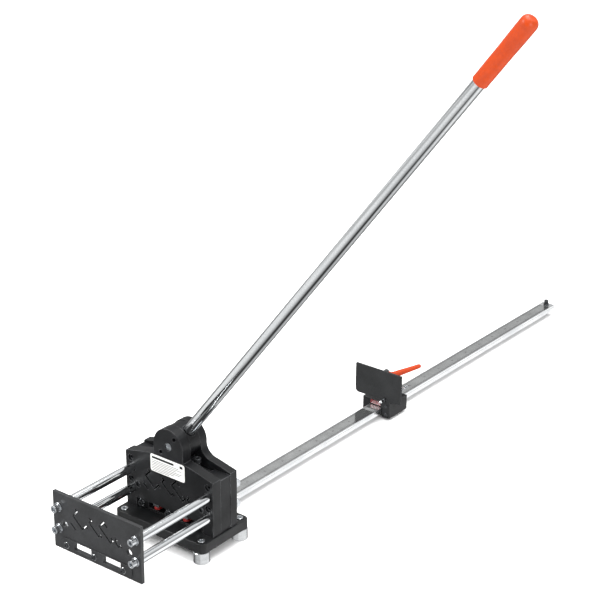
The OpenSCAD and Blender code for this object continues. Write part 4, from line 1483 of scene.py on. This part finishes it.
@dataclass
class Studio:
    """Camera, pale floor and soft light."""

    azimuth: float = 37.83
    elevation: float = 23.0
    roll: float = 0.46
    distance: float = 2.97868
    lens: float = 107.0
    aim_height: float = 0.08
    slide: tuple[float, float] = (-0.19825, -0.31876)
    # greys below the horizon, by the angle in degrees from front (-90) through down (0) to back (90)
    low_greys: tuple[tuple[float, float], ...] = (
        (-90, 0.55), (-80, 0.6), (-72, 1.0), (-61, 0.95), (-55, 0.8), (-49, 0.65), (-42, 0.42),
        (-34, 0.14), (-25, 0.03), (-15, 0.06), (-4, 0.35), (10, 0.7), (24, 0.4), (40, 0.3),
        (62, 0.35), (77, 0.6), (90, 0.6))
    # greys of the sky from the horizon to overhead
    sky_greys: tuple[tuple[float, float], ...] = (
        (0.0, 0.35), (0.02, 0.07), (0.12, 0.06), (0.2, 0.45), (0.45, 0.56), (0.6, 0.9), (1.0, 1.0))

    def build(self) -> None:
        """Sets the camera, the floor, the lamps and the surroundings."""
        self._camera()
        self._floor()
        self._lamps()
        self._surroundings()

    def _camera(self) -> None:
        """Puts the camera at the studio's angle, slid sideways and down to frame the tool."""
        a, e, roll = (math.radians(v) for v in (self.azimuth, self.elevation, self.roll))
        right = Vector((math.cos(a), math.sin(a), 0))
        back = Vector((math.sin(a) * math.cos(e), -math.cos(a) * math.cos(e), math.sin(e)))
        up = back.cross(right)
        across = right * math.cos(roll) + up * math.sin(roll)
        upward = up * math.cos(roll) - right * math.sin(roll)
        camera = bpy.data.cameras.new("camera")
        camera.lens, camera.sensor_width = self.lens, 36.0
        camera.clip_start, camera.clip_end = 0.05, 100.0
        holder = bpy.data.objects.new("camera", camera)
        turn = Matrix((across, upward, back)).transposed().to_4x4()
        spot = (Vector((0, 0, self.aim_height)) - across * self.slide[0] - upward * self.slide[1]
                + back * self.distance)
        holder.matrix_world = Matrix.Translation(spot) @ turn
        bpy.context.scene.collection.objects.link(holder)
        bpy.context.scene.camera = holder

    def _floor(self) -> None:
        """Lays a wide pale floor, which reflections pass so that metal mirrors the room's greys."""
        mesh = bpy.data.meshes.new("floor")
        half = 40.0
        mesh.from_pydata([(-half, -half, 0), (half, -half, 0), (half, half, 0), (-half, half, 0)], [],
                         [(0, 1, 2, 3)])
        floor = bpy.data.objects.new("floor", mesh)
        bpy.context.scene.collection.objects.link(floor)
        paper = Finish("studio_paper", "#fbfbfb", "#f6f6f6", 0.0, 0.85, 0.05, grain_mm=4.0,
                       bump_mm=0.0, cloud_mm=900)
        mesh.materials.append(paper.material())
        floor.visible_glossy = False

    def _lamp(self, name: str, spot: tuple[float, float, float], size: float, power: float) -> None:
        """Hangs a square soft lamp that looks at the block.

        Args:
            name: its name.
            spot: where it hangs, in metres.
            size: length of its side in metres.
            power: its power in watts.
        """
        lamp = bpy.data.lights.new(name, "AREA")
        lamp.shape, lamp.size, lamp.energy = "SQUARE", size, power
        holder = bpy.data.objects.new(name, lamp)
        aim = Vector((0.1, 0.2, 0.15)) - Vector(spot)
        holder.location = spot
        holder.rotation_euler = aim.to_track_quat("-Z", "Y").to_euler()
        bpy.context.scene.collection.objects.link(holder)

    def _lamps(self) -> None:
        """Hangs a key from the upper left, a fill from the right and a top light."""
        self._lamp("key", (-2.2, -2.6, 2.8), 1.4, 130)
        self._lamp("fill", (3.2, -1.2, 1.6), 1.6, 40)
        self._lamp("top", (0.3, 0.8, 3.6), 2.6, 120)

    def _fill_ramp(self, ramp: bpy.types.ColorRamp, greys: Iterable[tuple[float, float]]) -> None:
        """Gives a ramp its greys.

        Args:
            ramp: the ramp.
            greys: places from 0 to 1, each with its grey.
        """
        first, last = ramp.elements[0], ramp.elements[-1]
        for place, grey in greys:
            stop = first if place <= 0 else (last if place >= 1 else ramp.elements.new(place))
            stop.color = (grey, grey, grey, 1)

    def _surroundings(self) -> None:
        """Makes a room of greys: a sky by height, and streaks below the horizon for the chrome."""
        world = bpy.data.worlds.new("studio")
        bpy.context.scene.world = world
        bpy.context.scene.view_settings.view_transform = "Standard"
        world.use_nodes = True
        tree = world.node_tree
        tree.nodes.clear()
        way = add(tree, "ShaderNodeSeparateXYZ",
                  {"Vector": add(tree, "ShaderNodeTexCoord").outputs["Generated"]}).outputs
        sky = add(tree, "ShaderNodeValToRGB", {"Fac": way["Z"]})
        self._fill_ramp(sky.color_ramp, self.sky_greys)
        down = add(tree, "ShaderNodeMath", {0: way["Z"], 1: -1.0}, operation="MULTIPLY").outputs["Value"]
        angle = add(tree, "ShaderNodeMath", {0: way["Y"], 1: down}, operation="ARCTAN2").outputs["Value"]
        share = add(tree, "ShaderNodeMapRange", {"Value": angle, "From Min": -math.pi / 2,
                                                 "From Max": math.pi / 2}).outputs["Result"]
        low = add(tree, "ShaderNodeValToRGB", {"Fac": share})
        self._fill_ramp(low.color_ramp, [(degrees / 180 + 0.5, grey) for degrees, grey in self.low_greys])
        right = add(tree, "ShaderNodeMapRange", {"Value": way["X"], "From Min": 0.22,
                                                 "From Max": 0.4}).outputs["Result"]
        lit = add(tree, "ShaderNodeMix", {0: right, 6: low.outputs["Color"], 7: (1.35, 1.35, 1.35, 1.0)},
                  data_type="RGBA").outputs[2]
        above = add(tree, "ShaderNodeMapRange", {"Value": way["Z"], "From Min": -0.01,
                                                 "From Max": 0.01}).outputs["Result"]
        grey = add(tree, "ShaderNodeMix", {0: above, 6: lit, 7: sky.outputs["Color"]},
                   data_type="RGBA").outputs[2]
        soft = add(tree, "ShaderNodeLightPath").outputs["Is Diffuse Ray"]
        power = add(tree, "ShaderNodeMapRange", {"Value": soft, "To Min": 1.0,
                                                 "To Max": 1.8}).outputs["Result"]
        shine = add(tree, "ShaderNodeBackground", {"Color": grey, "Strength": power})
        add(tree, "ShaderNodeOutputWorld", {"Surface": shine.outputs["Background"]})


def main() -> None:
    """Builds the sub-assemblies in order and checks that every node has a finish."""
    logging.basicConfig(level=logging.INFO, format="%(message)s")
    Studio().build()
    bench = Workbench()
    for part in (Base(bench), Block(bench), RailGuide(bench), PunchStation(bench), Lever(bench),
                 Blade(bench), MeasuringRail(bench), LengthStop(bench)):
        part.build()
        log.info("%s is dressed", type(part).__name__)
    plain = sorted(set(bench.slots) - bench.dressed)
    if plain:
        log.warning("no finish yet for %s", plain)


if __name__ == "__main__":
    main()
